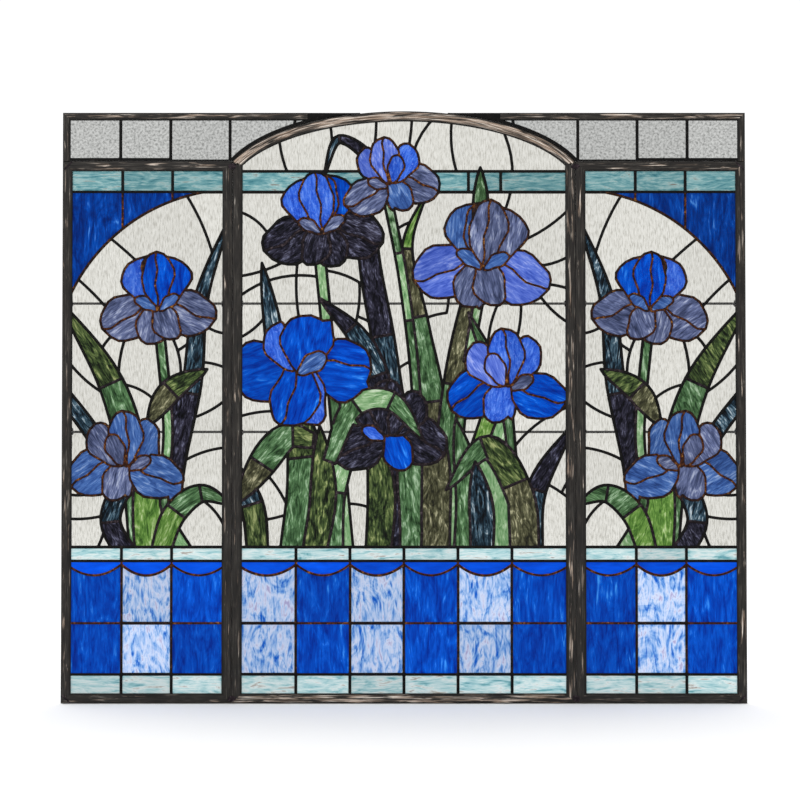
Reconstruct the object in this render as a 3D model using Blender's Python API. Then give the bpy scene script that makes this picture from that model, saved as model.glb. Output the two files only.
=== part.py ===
"""Three-light stained glass window panel with an arched centre, in metres, Z up, front towards -Y.

Zinc cames hold the edges and glass sheets sit in their channels. A plate of soldered lines lies
on the front of each light, and round steel bars stiffen the back. Wherever one sheet meets
another, a soldered line covers the seam. The panel's middle plane is at y = 0 and its foot at z = 0.
"""
import math

import bmesh
import bpy
from mathutils import Matrix, Vector
from mathutils.geometry import delaunay_2d_cdt

# Overall sizes
WING_WIDTH = 0.216
CENTRE_WIDTH = 0.436
WING_HEIGHT = 0.688
ARCH_RISE = 0.064
ARCH_FULLNESS = 1.075
CROWN_PROUD = 0.002

# Cames, glass, solder and bars
CAME_WIDTH = 0.0127
THIN_CAME_WIDTH = 0.0095
CAME_HALF_DEPTH = 0.0036
CHANNEL_PLAY = 0.0004
GLASS_THICKNESS = 0.003
GLASS_BITE = 0.005
SEAM = 0.001
BAND_LINE = 0.0038
PICTURE_LINE = 0.0033
BORDER_LINE = 0.0012
SOLDER_HEIGHT = 0.0012
WEDGE_HALF_DEPTH = 0.003
WEDGE_TIP = 0.002
TOP_CAME_CLEAR = 0.0035
BAR_DIAMETER = 0.0032
BAR_LAP = 0.006
LOWER_BAR_HEIGHT = 0.3435
UPPER_BAR_HEIGHT = 0.507
GAP = 0.0003

# Bands of the lights, from the bottom up
BOTTOM_STRIP = 0.024
CHECK = 0.0645
SKIRT = 0.0785
SWAG_SAG = 0.014
SWAG_DROP = 0.004
MIDDLE_STRIP = 0.0178
TOP_STRIP = 0.0265
WING_COLUMNS = 3
CENTRE_COLUMNS = 6
WING_ARC_RADIUS = 0.233
WING_ARC_SHIFT = 0.018
WING_ARC_LIFT = 0.004
TOP_STRIP_JOINTS = (0.18, 0.60, 0.70, 0.80)
CORNER_JOINTS = (0.34, 0.635, 0.985)
CORNER_SLANT = 0.020

# How finely the soldered lines are drawn
PETAL_STEPS = 3
LEAF_STEPS = 2
LINE_STEPS = 2
WING_ARC_STEPS = 4
SWAG_STEPS = 6
ARCH_STEPS = 14
LINE_SLACK = 0.0015
SMALLEST_PANE = 3.2e-4
SMALLEST_OPENING = 1.2e-5
MERGE = 2e-5

# Levels and widths that follow
GLASS_FOOT = CAME_WIDTH
CHECK_FOOT = GLASS_FOOT + BOTTOM_STRIP
SKIRT_FOOT = CHECK_FOOT + CHECK
SKIRT_TOP = SKIRT_FOOT + SKIRT
FIELD_FOOT = SKIRT_TOP + MIDDLE_STRIP
WING_GLASS_TOP = WING_HEIGHT - CAME_WIDTH
FIELD_TOP = WING_GLASS_TOP - TOP_STRIP
FIELD_HEIGHT = FIELD_TOP - FIELD_FOOT
WING_GLASS = WING_WIDTH - 2 * CAME_WIDTH
CENTRE_GLASS = CENTRE_WIDTH - 2 * CAME_WIDTH
TOP = WING_HEIGHT + ARCH_RISE - CROWN_PROUD
HALF_CENTRE = CENTRE_WIDTH / 2
HALF_GLASS = CENTRE_GLASS / 2
INNER_EDGE = HALF_CENTRE + GAP
OUTER_EDGE = INNER_EDGE + WING_WIDTH
OVER = 0.004


# Lines and loops in the plane of the panel

def curve(p0, p1, p2, p3, steps):
    """Points of a cubic curve, without its last point."""
    points = []
    for i in range(steps):
        t = i / steps
        s = 1 - t
        a, b, c, d = s**3, 3 * s * s * t, 3 * s * t * t, t**3
        points.append((a * p0[0] + b * p1[0] + c * p2[0] + d * p3[0],
                       a * p0[1] + b * p1[1] + c * p2[1] + d * p3[1]))
    return points


def bow(a, b, bulge, steps=LINE_STEPS):
    """An open line from a to b that stands off its chord by a share of its length."""
    points = []
    for i in range(steps + 1):
        t = i / steps
        off = 4 * t * (1 - t) * bulge
        points.append((a[0] + (b[0] - a[0]) * t - (b[1] - a[1]) * off,
                       a[1] + (b[1] - a[1]) * t + (b[0] - a[0]) * off))
    return points


def through(points, steps=LEAF_STEPS):
    """A smooth line through points."""
    p = [Vector(q) for q in points]
    p = [2 * p[0] - p[1]] + p + [2 * p[-1] - p[-2]]
    line = []
    for a, b, c, d in zip(p, p[1:], p[2:], p[3:]):
        for k in range(steps):
            t = k / steps
            line.append(0.5 * (2 * b + (c - a) * t + (2 * a - 5 * b + 4 * c - d) * t * t
                               + (3 * b - a - 3 * c + d) * t**3))
    line.append(p[-2])
    return line


def block(x0, x1, z0, z1):
    return [(x0, z0), (x1, z0), (x1, z1), (x0, z1)]


def area(loop):
    return 0.5 * sum(a[0] * b[1] - b[0] * a[1] for a, b in zip(loop, loop[1:] + loop[:1]))


def anticlockwise(loop):
    return loop if area(loop) > 0 else loop[::-1]


def turns_round(loop, x, z):
    """How many times a loop goes round a point."""
    count = 0
    for (x0, z0), (x1, z1) in zip(loop, loop[1:] + loop[:1]):
        side = (x1 - x0) * (z - z0) - (x - x0) * (z1 - z0)
        if z0 <= z < z1 and side > 0:
            count += 1
        elif z1 <= z < z0 and side < 0:
            count -= 1
    return count


def span(loop):
    xs = [p[0] for p in loop]
    zs = [p[1] for p in loop]
    return min(xs), max(xs), min(zs), max(zs)


def holds(loop, limits, point):
    x0, x1, z0, z1 = limits
    return x0 < point.x < x1 and z0 < point.y < z1 and turns_round(loop, point.x, point.y) != 0


def fill(open_lines, loops):
    """Triangles of everything that the lines and loops cross, and the edges that came from open lines."""
    verts, edges = [], []
    for line in open_lines:
        first = len(verts)
        verts += [Vector(p) for p in line]
        edges += [(k, k + 1) for k in range(first, len(verts) - 1)]
    open_count = len(edges)
    for loop in loops:
        first = len(verts)
        verts += [Vector(p) for p in loop]
        edges += [(k, k + 1) for k in range(first, len(verts) - 1)] + [(len(verts) - 1, first)]
    verts, made, faces, _, sources, _ = delaunay_2d_cdt(verts, edges, [], 0, MERGE)
    cut = {frozenset(e) for e, source in zip(made, sources) if any(i < open_count for i in source)}
    return verts, [tuple(f) for f in faces], cut


def middle_of(verts, face):
    return (verts[face[0]] + verts[face[1]] + verts[face[2]]) / 3


def edge_loops(triangles):
    """The boundary loops of a set of triangles, as lists of point numbers."""
    have = {(t[k - 1], t[k]) for t in triangles for k in range(3)}
    after = {}
    for a, b in sorted(have):
        if (b, a) not in have:
            after.setdefault(a, []).append(b)
    loops = []
    while after:
        here = min(after)
        loop = []
        while here in after:
            loop.append(here)
            step = after[here].pop()
            if not after[here]:
                del after[here]
            here = step
        loops.append(loop)
    return loops


def thinned(points, slack):
    """The points of an open line that keep it within a slack of its course, without the last one."""
    a, b = points[0], points[-1]
    along = b - a
    worst, where = slack, 0
    for i in range(1, len(points) - 1):
        t = max(0.0, min(1.0, (points[i] - a).dot(along) / max(along.length_squared, 1e-12)))
        off = (points[i] - a - along * t).length
        if off > worst:
            worst, where = off, i
    if not where:
        return [a]
    return thinned(points[:where + 1], slack) + thinned(points[where:], slack)


def simpler(loop, slack):
    """A loop with only the points that keep it within a slack of its course."""
    points = [Vector(p) for p in loop]
    far = max(range(len(points)), key=lambda i: (points[i] - points[0]).length)
    kept = thinned(points[:far + 1], slack) + thinned(points[far:] + points[:1], slack)
    return [(p.x, p.y) for p in kept]


def inset(loop, distance):
    """The clean loops at a distance inside a loop."""
    p = [Vector(q) for q in loop]
    raw = []
    for i, b in enumerate(p):
        u = (b - p[i - 1]).normalized()
        v = (p[(i + 1) % len(p)] - b).normalized()
        nu = Vector((-u.y, u.x))
        nv = Vector((-v.y, v.x))
        turn = math.atan2(u.x * v.y - u.y * v.x, u.dot(v))
        if abs(turn) < math.radians(3):
            raw.append(b + (nu + nv) * distance / 2)
        elif turn > 0:
            raw += [b + nu * distance, b, b + nv * distance]
        elif turn < math.radians(-50):
            parts = 2 if turn > math.radians(-120) else 3
            for k in range(parts + 1):
                raw.append(b + Matrix.Rotation(turn * k / parts, 2) @ nu * distance)
        else:
            raw.append(b + (nu + nv) * distance / (1 + math.cos(turn)))
    track = [(q.x, q.y) for q in raw]
    verts, faces, _ = fill([], [track])
    inside = []
    for face in faces:
        middle = middle_of(verts, face)
        if turns_round(track, middle.x, middle.y) >= 1:
            inside.append(face)
    return [[(verts[k].x, verts[k].y) for k in found] for found in edge_loops(inside)]


# The leaded picture: shapes laid one over another, and lines that part the clear ground

def panes(outline, shapes, cuts):
    """The loops of the panes into which shapes and cuts part an outline."""
    rings = [outline] + shapes
    limits = [span(loop) for loop in rings]
    verts, faces, cut = fill(cuts, rings)
    triangles, owner = [], []
    for face in faces:
        middle = middle_of(verts, face)
        if not holds(outline, limits[0], middle):
            continue
        number = len(shapes)
        while number and not holds(rings[number], limits[number], middle):
            number -= 1
        triangles.append(face)
        owner.append(number)

    group = list(range(len(triangles)))

    def root(i):
        while group[i] != i:
            group[i] = group[group[i]]
            i = group[i]
        return i

    shared = {}
    for number, t in enumerate(triangles):
        for k in range(3):
            shared.setdefault(frozenset((t[k - 1], t[k])), []).append(number)
    borders = []
    for edge, pair in shared.items():
        if len(pair) < 2:
            continue
        parted = owner[pair[0]] == 0 and edge in cut
        if owner[pair[0]] == owner[pair[1]] and not parted:
            group[root(pair[0])] = root(pair[1])
        else:
            a, b = edge
            borders.append((pair[0], pair[1], (verts[a] - verts[b]).length))

    # A pane too small to cut from glass joins the neighbour that it shares most edge with
    size = {}
    for i, t in enumerate(triangles):
        size[root(i)] = size.get(root(i), 0.0) + abs(area([tuple(verts[k]) for k in t]))
    waiting = dict(size)
    while waiting and min(waiting.values()) < SMALLEST_PANE:
        least = min(waiting, key=lambda r: (waiting[r], r))
        reach = {}
        for a, b, length in borders:
            ra, rb = root(a), root(b)
            if ra != rb and least in (ra, rb):
                other = rb if ra == least else ra
                reach[other] = reach.get(other, 0.0) + length
        given = waiting.pop(least)
        if reach:
            best = max(reach, key=lambda r: (reach[r], r))
            group[least] = best
            waiting[best] = waiting.get(best, SMALLEST_PANE) + given

    made = {}
    for i, t in enumerate(triangles):
        made.setdefault(root(i), []).append(t)
    found = []
    for r in sorted(made):
        loops = [[tuple(verts[k]) for k in loop] for loop in edge_loops(made[r])]
        found.append(simpler(max(loops, key=area), 2 * MERGE))
    return found


# Motifs of the picture: petals, blooms, leaves and stems

def petal(base, tip, left, right):
    """A petal from its base to its tip, with a bulge on each side as a share of its length."""
    base, tip = Vector(base), Vector(tip)
    along = tip - base
    across = Vector((-along.y, along.x))

    def sides(bulge):
        return base + along * 0.12 + across * bulge * 0.7, base + along * 0.9 + across * bulge * 1.5

    left_low, left_high = sides(left)
    right_low, right_high = sides(-right)
    up = curve(base, left_low, left_high, tip, PETAL_STEPS)
    down = curve(tip, right_high, right_low, base, PETAL_STEPS)
    return up + down


# Each bloom is a list of petals in shares of its width, from the back to the front: base, tip and bulges
CROWN = [
    ((.00, -.34), (.00, .08), .22, .22),
    ((-.02, .10), (-.50, -.17), .50, .34),
    ((.02, .10), (.50, -.15), .30, .52),
    ((.00, .08), (-.12, -.33), .46, .34),
    ((.02, .08), (.15, -.30), .22, .46),
    ((-.03, -.02), (-.05, .44), .66, -.20),
    ((.03, -.02), (.07, .43), -.20, .66),
    ((.00, -.03), (.02, .47), .30, .34),
]
CUP = [
    ((.02, -.30), (.00, .10), .24, .24),
    ((.02, .10), (-.48, -.22), .52, .22),
    ((.00, .10), (.50, -.14), .42, .40),
    ((.02, .06), (.18, -.30), .34, .40),
    ((-.02, -.02), (-.24, .36), .46, .22),
    ((.02, -.02), (.22, .38), .26, .46),
    ((.00, -.03), (-.03, .46), .40, .30),
]
FLAG = [
    ((.03, -.30), (.00, .10), .22, .22),
    ((-.02, .08), (-.50, -.08), .58, .46),
    ((.02, .06), (.52, .03), .46, .60),
    ((.03, .10), (.16, -.40), .20, .46),
    ((-.02, .10), (-.12, -.42), .52, .26),
    ((-.05, -.02), (-.17, .34), .52, .10),
    ((.01, -.04), (.05, .40), .52, .50),
]


def bloom(design, heart, width, lean, flip=1):
    """The petals of a bloom with its heart at a point, leaning by some degrees."""
    turn = Matrix.Rotation(math.radians(lean), 2)

    def place(p):
        return tuple(Vector(heart) + turn @ Vector((p[0] * flip * width, p[1] * width)))

    return [[place(p) for p in petal(*shape)] for shape in design]


def strap(line, widths):
    """A loop round a line, as wide at each point as the list says."""
    left, right = [], []
    for i, (p, w) in enumerate(zip(line, widths)):
        way = (line[min(i + 1, len(line) - 1)] - line[max(i - 1, 0)]).normalized()
        side = Vector((-way.y, way.x)) * w / 2
        left.append(p + side)
        right.append(p - side)
    loop = right + left[::-1]
    return [tuple(p) for i, p in enumerate(loop) if (p - loop[i - 1]).length > 1e-4]


def blade(spine, width, root=0.9, waist=0.45):
    """A leaf, widest at its waist and pointed at its end."""
    line = through(spine)
    run = [0.0]
    for a, b in zip(line, line[1:]):
        run.append(run[-1] + (b - a).length)
    widths = []
    for r in run:
        k = r / run[-1]
        if k < waist:
            share = root + (1 - root) * math.sin(math.pi / 2 * k / waist)
        else:
            share = max(0.0, math.cos(math.pi / 2 * (k - waist) / (1 - waist)))**0.8
        widths.append(share * width)
    return strap(line, widths)


def stem(spine, width):
    line = through(spine)
    return strap(line, [width] * len(line))


def wing_picture(w, h):
    """Two blooms with their leaves, for a field w wide and h high, and the lines of its ground."""
    def run(*pairs):
        return [(u * w, v * h) for u, v in pairs]

    shapes = [
        blade(run((.66, -.03), (.68, .20), (.80, .46), (.86, .70), (1.05, .93)), .125 * w, 1.0),
        blade(run((.46, -.03), (.42, .22), (.26, .46), (-.08, .69)), .19 * w, .7),
        stem(run((.80, -.03), (.62, .12), (.64, .34), (.57, .66)), .06 * w),
        blade(run((.50, -.03), (.50, .16), (.52, .30), (.56, .42)), .18 * w, .8, .3),
        blade(run((.50, .34), (.66, .44), (.90, .50)), .15 * w, .1),
        blade(run((-.06, .43), (.12, .33), (.32, .20)), .10 * w),
        stem(run((.34, .18), (.26, .07), (.40, -.04)), .13 * w),
        blade(run((.58, -.03), (.68, .09), (.86, .15), (1.06, .12)), .15 * w, .8),
    ]
    shapes += bloom(CROWN, (.57 * w, .68 * h), .76 * w, 4)
    shapes += bloom(CUP, (.36 * w, .235 * h), .76 * w, 8, -1)
    cuts = [
        ((-.04, .78), (.36, .60), .04), ((.06, .93), (.44, .80), .02), ((.66, 1.05), (.96, .78), .06),
        ((-.04, .53), (.26, .42), -.06), ((.36, .34), (.40, .64), .10), ((.84, .52), (1.04, .50), .06),
        ((.74, .24), (1.04, .28), .06), ((-.04, .08), (.30, .10), -.06),
    ]
    return shapes, [bow(*run(a, b), bulge) for a, b, bulge in cuts]


def centre_picture(w, h):
    """Six blooms over a clump of leaves, for a field w wide and h high, and the lines of its ground."""
    def run(*pairs):
        return [(u * w, v * h) for u, v in pairs]

    shapes = [
        blade(run((.47, -.03), (.49, .22), (.44, .56), (.39, .84), (.41, 1.06), (.30, 1.15), (.25, 1.04)),
              .07 * w),
        blade(run((.56, -.03), (.60, .34), (.55, .62), (.51, .84), (.57, 1.0)), .062 * w),
        blade(run((.60, .10), (.66, .50), (.745, .86), (.735, 1.05)), .06 * w, .7),
        stem(run((.54, -.03), (.54, .40), (.50, .74), (.45, .98)), .026 * w),
        stem(run((.33, -.03), (.28, .45), (.235, .86)), .032 * w),
        stem(run((.64, -.03), (.68, .40), (.74, .74)), .028 * w),
        blade(run((.12, .38), (.10, .58), (.06, .80)), .055 * w, .8),
        blade(run((.48, .30), (.38, .56), (.24, .70)), .07 * w),
        blade(run((.05, -.03), (.03, .12), (-.05, .26)), .07 * w),
        blade(run((.90, -.03), (.91, .16), (1.02, .34)), .06 * w),
        blade(run((.17, -.03), (.20, .20), (.16, .44)), .12 * w),
        blade(run((.27, -.03), (.28, .18), (.38, .40), (.56, .34)), .09 * w),
        blade(run((.22, -.03), (.25, .14), (.24, .34)), .08 * w),
        blade(run((.22, .30), (.12, .30), (-.02, .12)), .09 * w, .5),
        blade(run((.42, -.03), (.43, .16), (.40, .34)), .085 * w),
        blade(run((.52, -.03), (.52, .12), (.49, .32)), .07 * w),
        blade(run((.60, -.03), (.60, .14), (.62, .32)), .09 * w),
        blade(run((.69, -.03), (.70, .16), (.66, .36)), .08 * w),
        blade(run((.79, -.03), (.78, .18), (.80, .38)), .085 * w),
        blade(run((.88, -.03), (.86, .14), (.76, .28), (.63, .16)), .085 * w),
        blade(run((.74, -.03), (.74, .10), (.72, .24)), .075 * w),
    ]
    shapes += bloom(CUP, (.45 * w, .32 * h), .36 * w, -6)
    shapes.append(blade(run((.27, .24), (.34, .40), (.46, .40), (.56, .30)), .075 * w, .6, .5))
    shapes += bloom(FLAG, (.18 * w, .50 * h), .42 * w, -4)
    shapes += bloom(CUP, (.82 * w, .46 * h), .37 * w, 10, -1)
    shapes += bloom(CROWN, (.745 * w, .80 * h), .42 * w, -5)
    shapes += bloom(CROWN, (.245 * w, .90 * h), .37 * w, 5, -1)
    shapes += bloom(CUP, (.455 * w, 1.03 * h), .30 * w, 3)
    cuts = [
        ((-.03, .95), (.10, .84), .14), ((-.03, .69), (.24, .76), .12), ((.12, 1.25), (.17, 1.00), -.10),
        ((.40, 1.34), (.41, 1.14), .04), ((.66, 1.26), (.52, .98), -.16), ((.78, 1.22), (.80, .92), .14),
        ((1.03, .97), (.86, .86), .06), ((1.03, .72), (.90, .74), -.06), ((1.03, .62), (.90, .74), .08),
        ((.52, .62), (.66, .66), .08), ((.28, .66), (.46, .58), .12), ((.24, .78), (.42, .70), .10),
        ((-.03, .36), (.14, .38), .06), ((.88, .20), (1.03, .12), .06), ((.84, .28), (1.03, .40), .08),
    ]
    return shapes, [bow(*run(a, b), bulge) for a, b, bulge in cuts]


# The bands and borders round the pictures, measured from the left edge of a light's glass

def columns(width, count):
    """The columns of a band, with the end ones carried past the cames."""
    step = width / count
    for k in range(count):
        x0 = k * step if k else -OVER
        x1 = (k + 1) * step if k < count - 1 else width + OVER
        yield x0, x1


def lower_bands(width, count):
    shapes = []
    for x0, x1 in columns(width, count):
        shapes.append(block(x0, x1, GLASS_FOOT - OVER, CHECK_FOOT))
        shapes.append(block(x0, x1, CHECK_FOOT, SKIRT_FOOT))
        shapes.append(block(x0, x1, SKIRT_FOOT, SKIRT_TOP))
        swag_ends = SKIRT_TOP - SWAG_DROP
        swag = bow((x0, swag_ends), (x1, swag_ends), -SWAG_SAG / (x1 - x0), SWAG_STEPS)
        shapes.append(swag + [(x1, SKIRT_TOP), (x0, SKIRT_TOP)])
        shapes.append(block(x0, x1, SKIRT_TOP, FIELD_FOOT))
    return shapes


WING_ARC_MIDDLE = WING_GLASS + WING_ARC_SHIFT
WING_ARC_LEVEL = FIELD_TOP + WING_ARC_LIFT - WING_ARC_RADIUS


def wing_arc(radius, x0, x1, steps):
    """The arc over a wing's picture between two widths, left to right."""
    points = []
    for i in range(steps + 1):
        x = x0 + (x1 - x0) * i / steps
        points.append((x, WING_ARC_LEVEL + math.sqrt(max(radius**2 - (x - WING_ARC_MIDDLE)**2, 0.0))))
    return points


def arc_meets(radius, level):
    """How far right the arc is when it reaches a level."""
    return WING_ARC_MIDDLE - math.sqrt(max(radius**2 - (level - WING_ARC_LEVEL)**2, 0.0))


def raised(picture):
    """A picture moved up from its own foot to the field's."""
    shapes, cuts = picture
    moved = [[[(x, z + FIELD_FOOT) for x, z in line] for line in lines] for lines in (shapes, cuts)]
    return moved[0], moved[1]


def wing_shapes():
    shapes, cuts = raised(wing_picture(WING_GLASS, FIELD_HEIGHT))
    meets = arc_meets(WING_ARC_RADIUS, FIELD_TOP)
    for x0, x1 in columns(WING_GLASS, WING_COLUMNS):
        x1 = min(x1, meets)
        if x1 > x0:
            arc = wing_arc(WING_ARC_RADIUS, x0, x1, WING_ARC_STEPS)
            shapes.append(arc + [(x1, FIELD_TOP), (x0, FIELD_TOP)])
    for x0, x1 in columns(WING_GLASS, WING_COLUMNS):
        shapes.append(block(x0, x1, FIELD_TOP, WING_GLASS_TOP + OVER))
    return shapes + lower_bands(WING_GLASS, WING_COLUMNS), cuts


def centre_shapes():
    ends = [-OVER] + [u * CENTRE_GLASS for u in TOP_STRIP_JOINTS] + [CENTRE_GLASS + OVER]
    strips = [block(x0, x1, FIELD_TOP, FIELD_TOP + TOP_STRIP) for x0, x1 in zip(ends, ends[1:])]
    shapes, cuts = raised(centre_picture(CENTRE_GLASS, FIELD_HEIGHT))
    return strips + shapes + lower_bands(CENTRE_GLASS, CENTRE_COLUMNS), cuts


# The arch over the centre is part of an ellipse, measured from the middle of the window
ARCH_HALF = HALF_CENTRE * ARCH_FULLNESS
ARCH_DEPTH = ARCH_RISE / (1 - math.sqrt(1 - 1 / ARCH_FULLNESS**2))
ARCH_LEVEL = WING_HEIGHT + ARCH_RISE - ARCH_DEPTH


def arch_height(x):
    """Height of the arch's outer edge at a distance from the middle."""
    return ARCH_LEVEL + ARCH_DEPTH * math.sqrt(max(1 - (x / ARCH_HALF)**2, 0.0))


def arch_reach(z):
    """How far from the middle the arch's outer edge is at a height."""
    return ARCH_HALF * math.sqrt(max(1 - ((z - ARCH_LEVEL) / ARCH_DEPTH)**2, 0.0))


def arch_path():
    """Points along the arch's outer edge from left to right, closer together where it bends more."""
    points = []
    for i in range(ARCH_STEPS + 1):
        x = -HALF_CENTRE * math.cos(math.pi * i / ARCH_STEPS)
        points.append(Vector((x, arch_height(x))))
    return points


UP, DOWN, LEFT, RIGHT = (0.0, 1.0), (0.0, -1.0), (-1.0, 0.0), (1.0, 0.0)


def mitres(path, before, after):
    """For each point of a path, the way to its parallel line one metre to the right."""
    ways = [Vector(before)] + [(b - a).normalized() for a, b in zip(path, path[1:])] + [Vector(after)]
    found = []
    for u, v in zip(ways, ways[1:]):
        nu = Vector((u.y, -u.x))
        nv = Vector((v.y, -v.x))
        found.append((nu + nv) / (1 + nu.dot(nv)))
    return found


def under_arch(inward, foot):
    """A loop inside the centre's frame, measured from the left edge of its glass."""
    path = arch_path()
    line = [p + m * inward for p, m in zip(path, mitres(path, UP, DOWN))]
    half = HALF_CENTRE - inward
    loop = [(-half, foot), (half, foot)] + [(p.x, p.y) for p in line[::-1]]
    return [(x + HALF_GLASS, z) for x, z in loop]


# Solids. Each is made where it stands and then given an origin of its own

LOOKS = {
    "zinc_came": ((0.10, 0.095, 0.09), 0.75, 0.45, 0.0),
    "solder_line": ((0.03, 0.027, 0.025), 0.55, 0.45, 0.0),
    "steel_bar": ((0.30, 0.30, 0.30), 0.9, 0.4, 0.0),
    "clear_glass": ((0.80, 0.80, 0.76), 0.0, 0.12, 0.8),
    "granite_glass": ((0.74, 0.75, 0.74), 0.0, 0.25, 0.7),
    "aqua_glass": ((0.42, 0.70, 0.70), 0.0, 0.15, 0.25),
    "cobalt_glass": ((0.01, 0.09, 0.55), 0.0, 0.12, 0.25),
    "white_glass": ((0.52, 0.60, 0.86), 0.0, 0.15, 0.2),
}


def get_material(name):
    material = bpy.data.materials.get(name)
    if material is None:
        colour, metal, rough, through_light = LOOKS[name]
        material = bpy.data.materials.new(name)
        material.use_nodes = True
        shader = material.node_tree.nodes["Principled BSDF"]
        shader.inputs["Base Color"].default_value = colour + (1.0,)
        shader.inputs["Metallic"].default_value = metal
        shader.inputs["Roughness"].default_value = rough
        shader.inputs["Transmission Weight"].default_value = through_light
    return material


def finish(name, bm, material, at):
    """Makes an object of a closed mesh, with its origin at a point (x, z) of the middle plane."""
    origin = Vector((at[0], 0.0, at[1]))
    bmesh.ops.translate(bm, verts=bm.verts, vec=-origin)
    bmesh.ops.recalc_face_normals(bm, faces=bm.faces)
    mesh = bpy.data.meshes.new(name)
    bm.to_mesh(mesh)
    bm.free()
    mesh.materials.append(get_material(material))
    mesh.shade_smooth()
    mesh.set_sharp_from_angle(angle=math.radians(30))
    obj = bpy.data.objects.new(name, mesh)
    obj.location = origin
    bpy.context.scene.collection.objects.link(obj)
    return obj


def thicken(bm, depth):
    """Turns a flat mesh into a plate that reaches from it towards +Y."""
    made = bmesh.ops.extrude_face_region(bm, geom=bm.faces[:])
    moved = [v for v in made["geom"] if isinstance(v, bmesh.types.BMVert)]
    bmesh.ops.translate(bm, verts=moved, vec=(0.0, depth, 0.0))


def plate(name, loop, half_depth, material):
    """A flat piece with straight edges, the same on both sides of the middle plane."""
    bm = bmesh.new()
    bm.faces.new([bm.verts.new((x, -half_depth, z)) for x, z in anticlockwise(loop)])
    thicken(bm, 2 * half_depth)
    return finish(name, bm, material, loop[0])


def came_section(width):
    """Half-round came with a channel for the glass: distance in from the outer edge, and depth."""
    d = CAME_HALF_DEPTH
    slot = GLASS_THICKNESS / 2 + CHANNEL_PLAY
    floor = width - GLASS_BITE - 8 * GAP
    back = [(0.0, 0.8 * d), (0.11 * width, 0.93 * d), (0.5 * width, d), (0.88 * width, 0.92 * d),
            (width, 0.72 * d)]
    channel = [(width, slot), (floor, slot), (floor, -slot), (width, -slot)]
    return back + channel + [(s, -y) for s, y in back[::-1]]


def came(name, path, width, before, after):
    """A came whose outer edge follows a path, with the glass on its right as it runs.
    before and after are the directions of its neighbours, for the mitres."""
    path = [Vector(q) for q in path]
    bm = bmesh.new()
    rings = []
    for i, (spot, mitre) in enumerate(zip(path, mitres(path, before, after))):
        if i == 0:
            spot = spot + (path[1] - path[0]).normalized() * GAP / 2 * mitre.length
        elif i == len(path) - 1:
            spot = spot - (path[-1] - path[-2]).normalized() * GAP / 2 * mitre.length
        ring = []
        for s, y in came_section(width):
            corner = spot + mitre * s
            ring.append(bm.verts.new((corner.x, y, corner.y)))
        rings.append(ring)
    count = len(rings[0])
    for a, b in zip(rings, rings[1:]):
        for k in range(count):
            bm.faces.new((a[k], a[(k + 1) % count], b[(k + 1) % count], b[k]))
    bm.faces.new(rings[0])
    bm.faces.new(rings[-1])
    return finish(name, bm, "zinc_came", path[0])


def leading(name, border, outline, picture, top_line, place):
    """The soldered lines of a light as one plate, with an opening for each pane."""
    shapes, cuts = picture
    openings = []
    for loop in panes(outline, shapes, cuts):
        middle = sum(z for _, z in loop) / len(loop)
        line = PICTURE_LINE if FIELD_FOOT < middle < top_line else BAND_LINE
        for hole in inset(loop, line / 2):
            hole = simpler(hole, LINE_SLACK)
            if len(hole) > 2 and area(hole) > SMALLEST_OPENING:
                openings.append((hole, span(hole)))
    verts, faces, _ = fill([], [border] + [hole for hole, _ in openings])
    limits = span(border)
    bm = bmesh.new()
    corners = {}
    for face in faces:
        middle = middle_of(verts, face)
        if not holds(border, limits, middle) or any(holds(hole, box, middle) for hole, box in openings):
            continue
        for k in face:
            if k not in corners:
                x, z = place(verts[k].x, verts[k].y)
                corners[k] = bm.verts.new((x, -GLASS_THICKNESS / 2 - GAP - SOLDER_HEIGHT, z))
        bm.faces.new([corners[k] for k in face])
    thicken(bm, SOLDER_HEIGHT)
    return finish(name, bm, "solder_line", place(*border[0]))


def bar(name, x0, x1, z):
    """A round bar across the back of a light."""
    radius = BAR_DIAMETER / 2
    y = CAME_HALF_DEPTH + GAP + radius
    stand = Matrix.Translation(((x0 + x1) / 2, y, z)) @ Matrix.Rotation(math.pi / 2, 4, "Y")
    bm = bmesh.new()
    bmesh.ops.create_cone(bm, cap_ends=True, segments=12, radius1=radius, radius2=radius, depth=x1 - x0,
                          matrix=stand)
    return finish(name, bm, "steel_bar", ((x0 + x1) / 2, z))


def mirrored(points):
    return [(-x, z) for x, z in points]


def two_cames(name, path, width, before, after):
    """The same came on the left side and on the right side of the window."""
    came("left_" + name, path, width, before, after)
    came("right_" + name, mirrored(path)[::-1], width, (after[0], -after[1]), (before[0], -before[1]))


def two_sheets(name, loop, material):
    plate("left_" + name, loop, GLASS_THICKNESS / 2, material)
    plate("right_" + name, mirrored(loop), GLASS_THICKNESS / 2, material)


for stray in list(bpy.data.objects):
    bpy.data.objects.remove(stray)

# Wing frames: each path runs clockwise as seen from the front
two_cames("wing_outer_stile", [(-OUTER_EDGE, 0.0), (-OUTER_EDGE, WING_HEIGHT)], CAME_WIDTH, LEFT, RIGHT)
two_cames("wing_head", [(-OUTER_EDGE, WING_HEIGHT), (-INNER_EDGE, WING_HEIGHT)], CAME_WIDTH, UP, DOWN)
two_cames("wing_inner_stile", [(-INNER_EDGE, WING_HEIGHT), (-INNER_EDGE, 0.0)], CAME_WIDTH, RIGHT, LEFT)
two_cames("wing_sill", [(-INNER_EDGE, 0.0), (-OUTER_EDGE, 0.0)], CAME_WIDTH, DOWN, UP)

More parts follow.
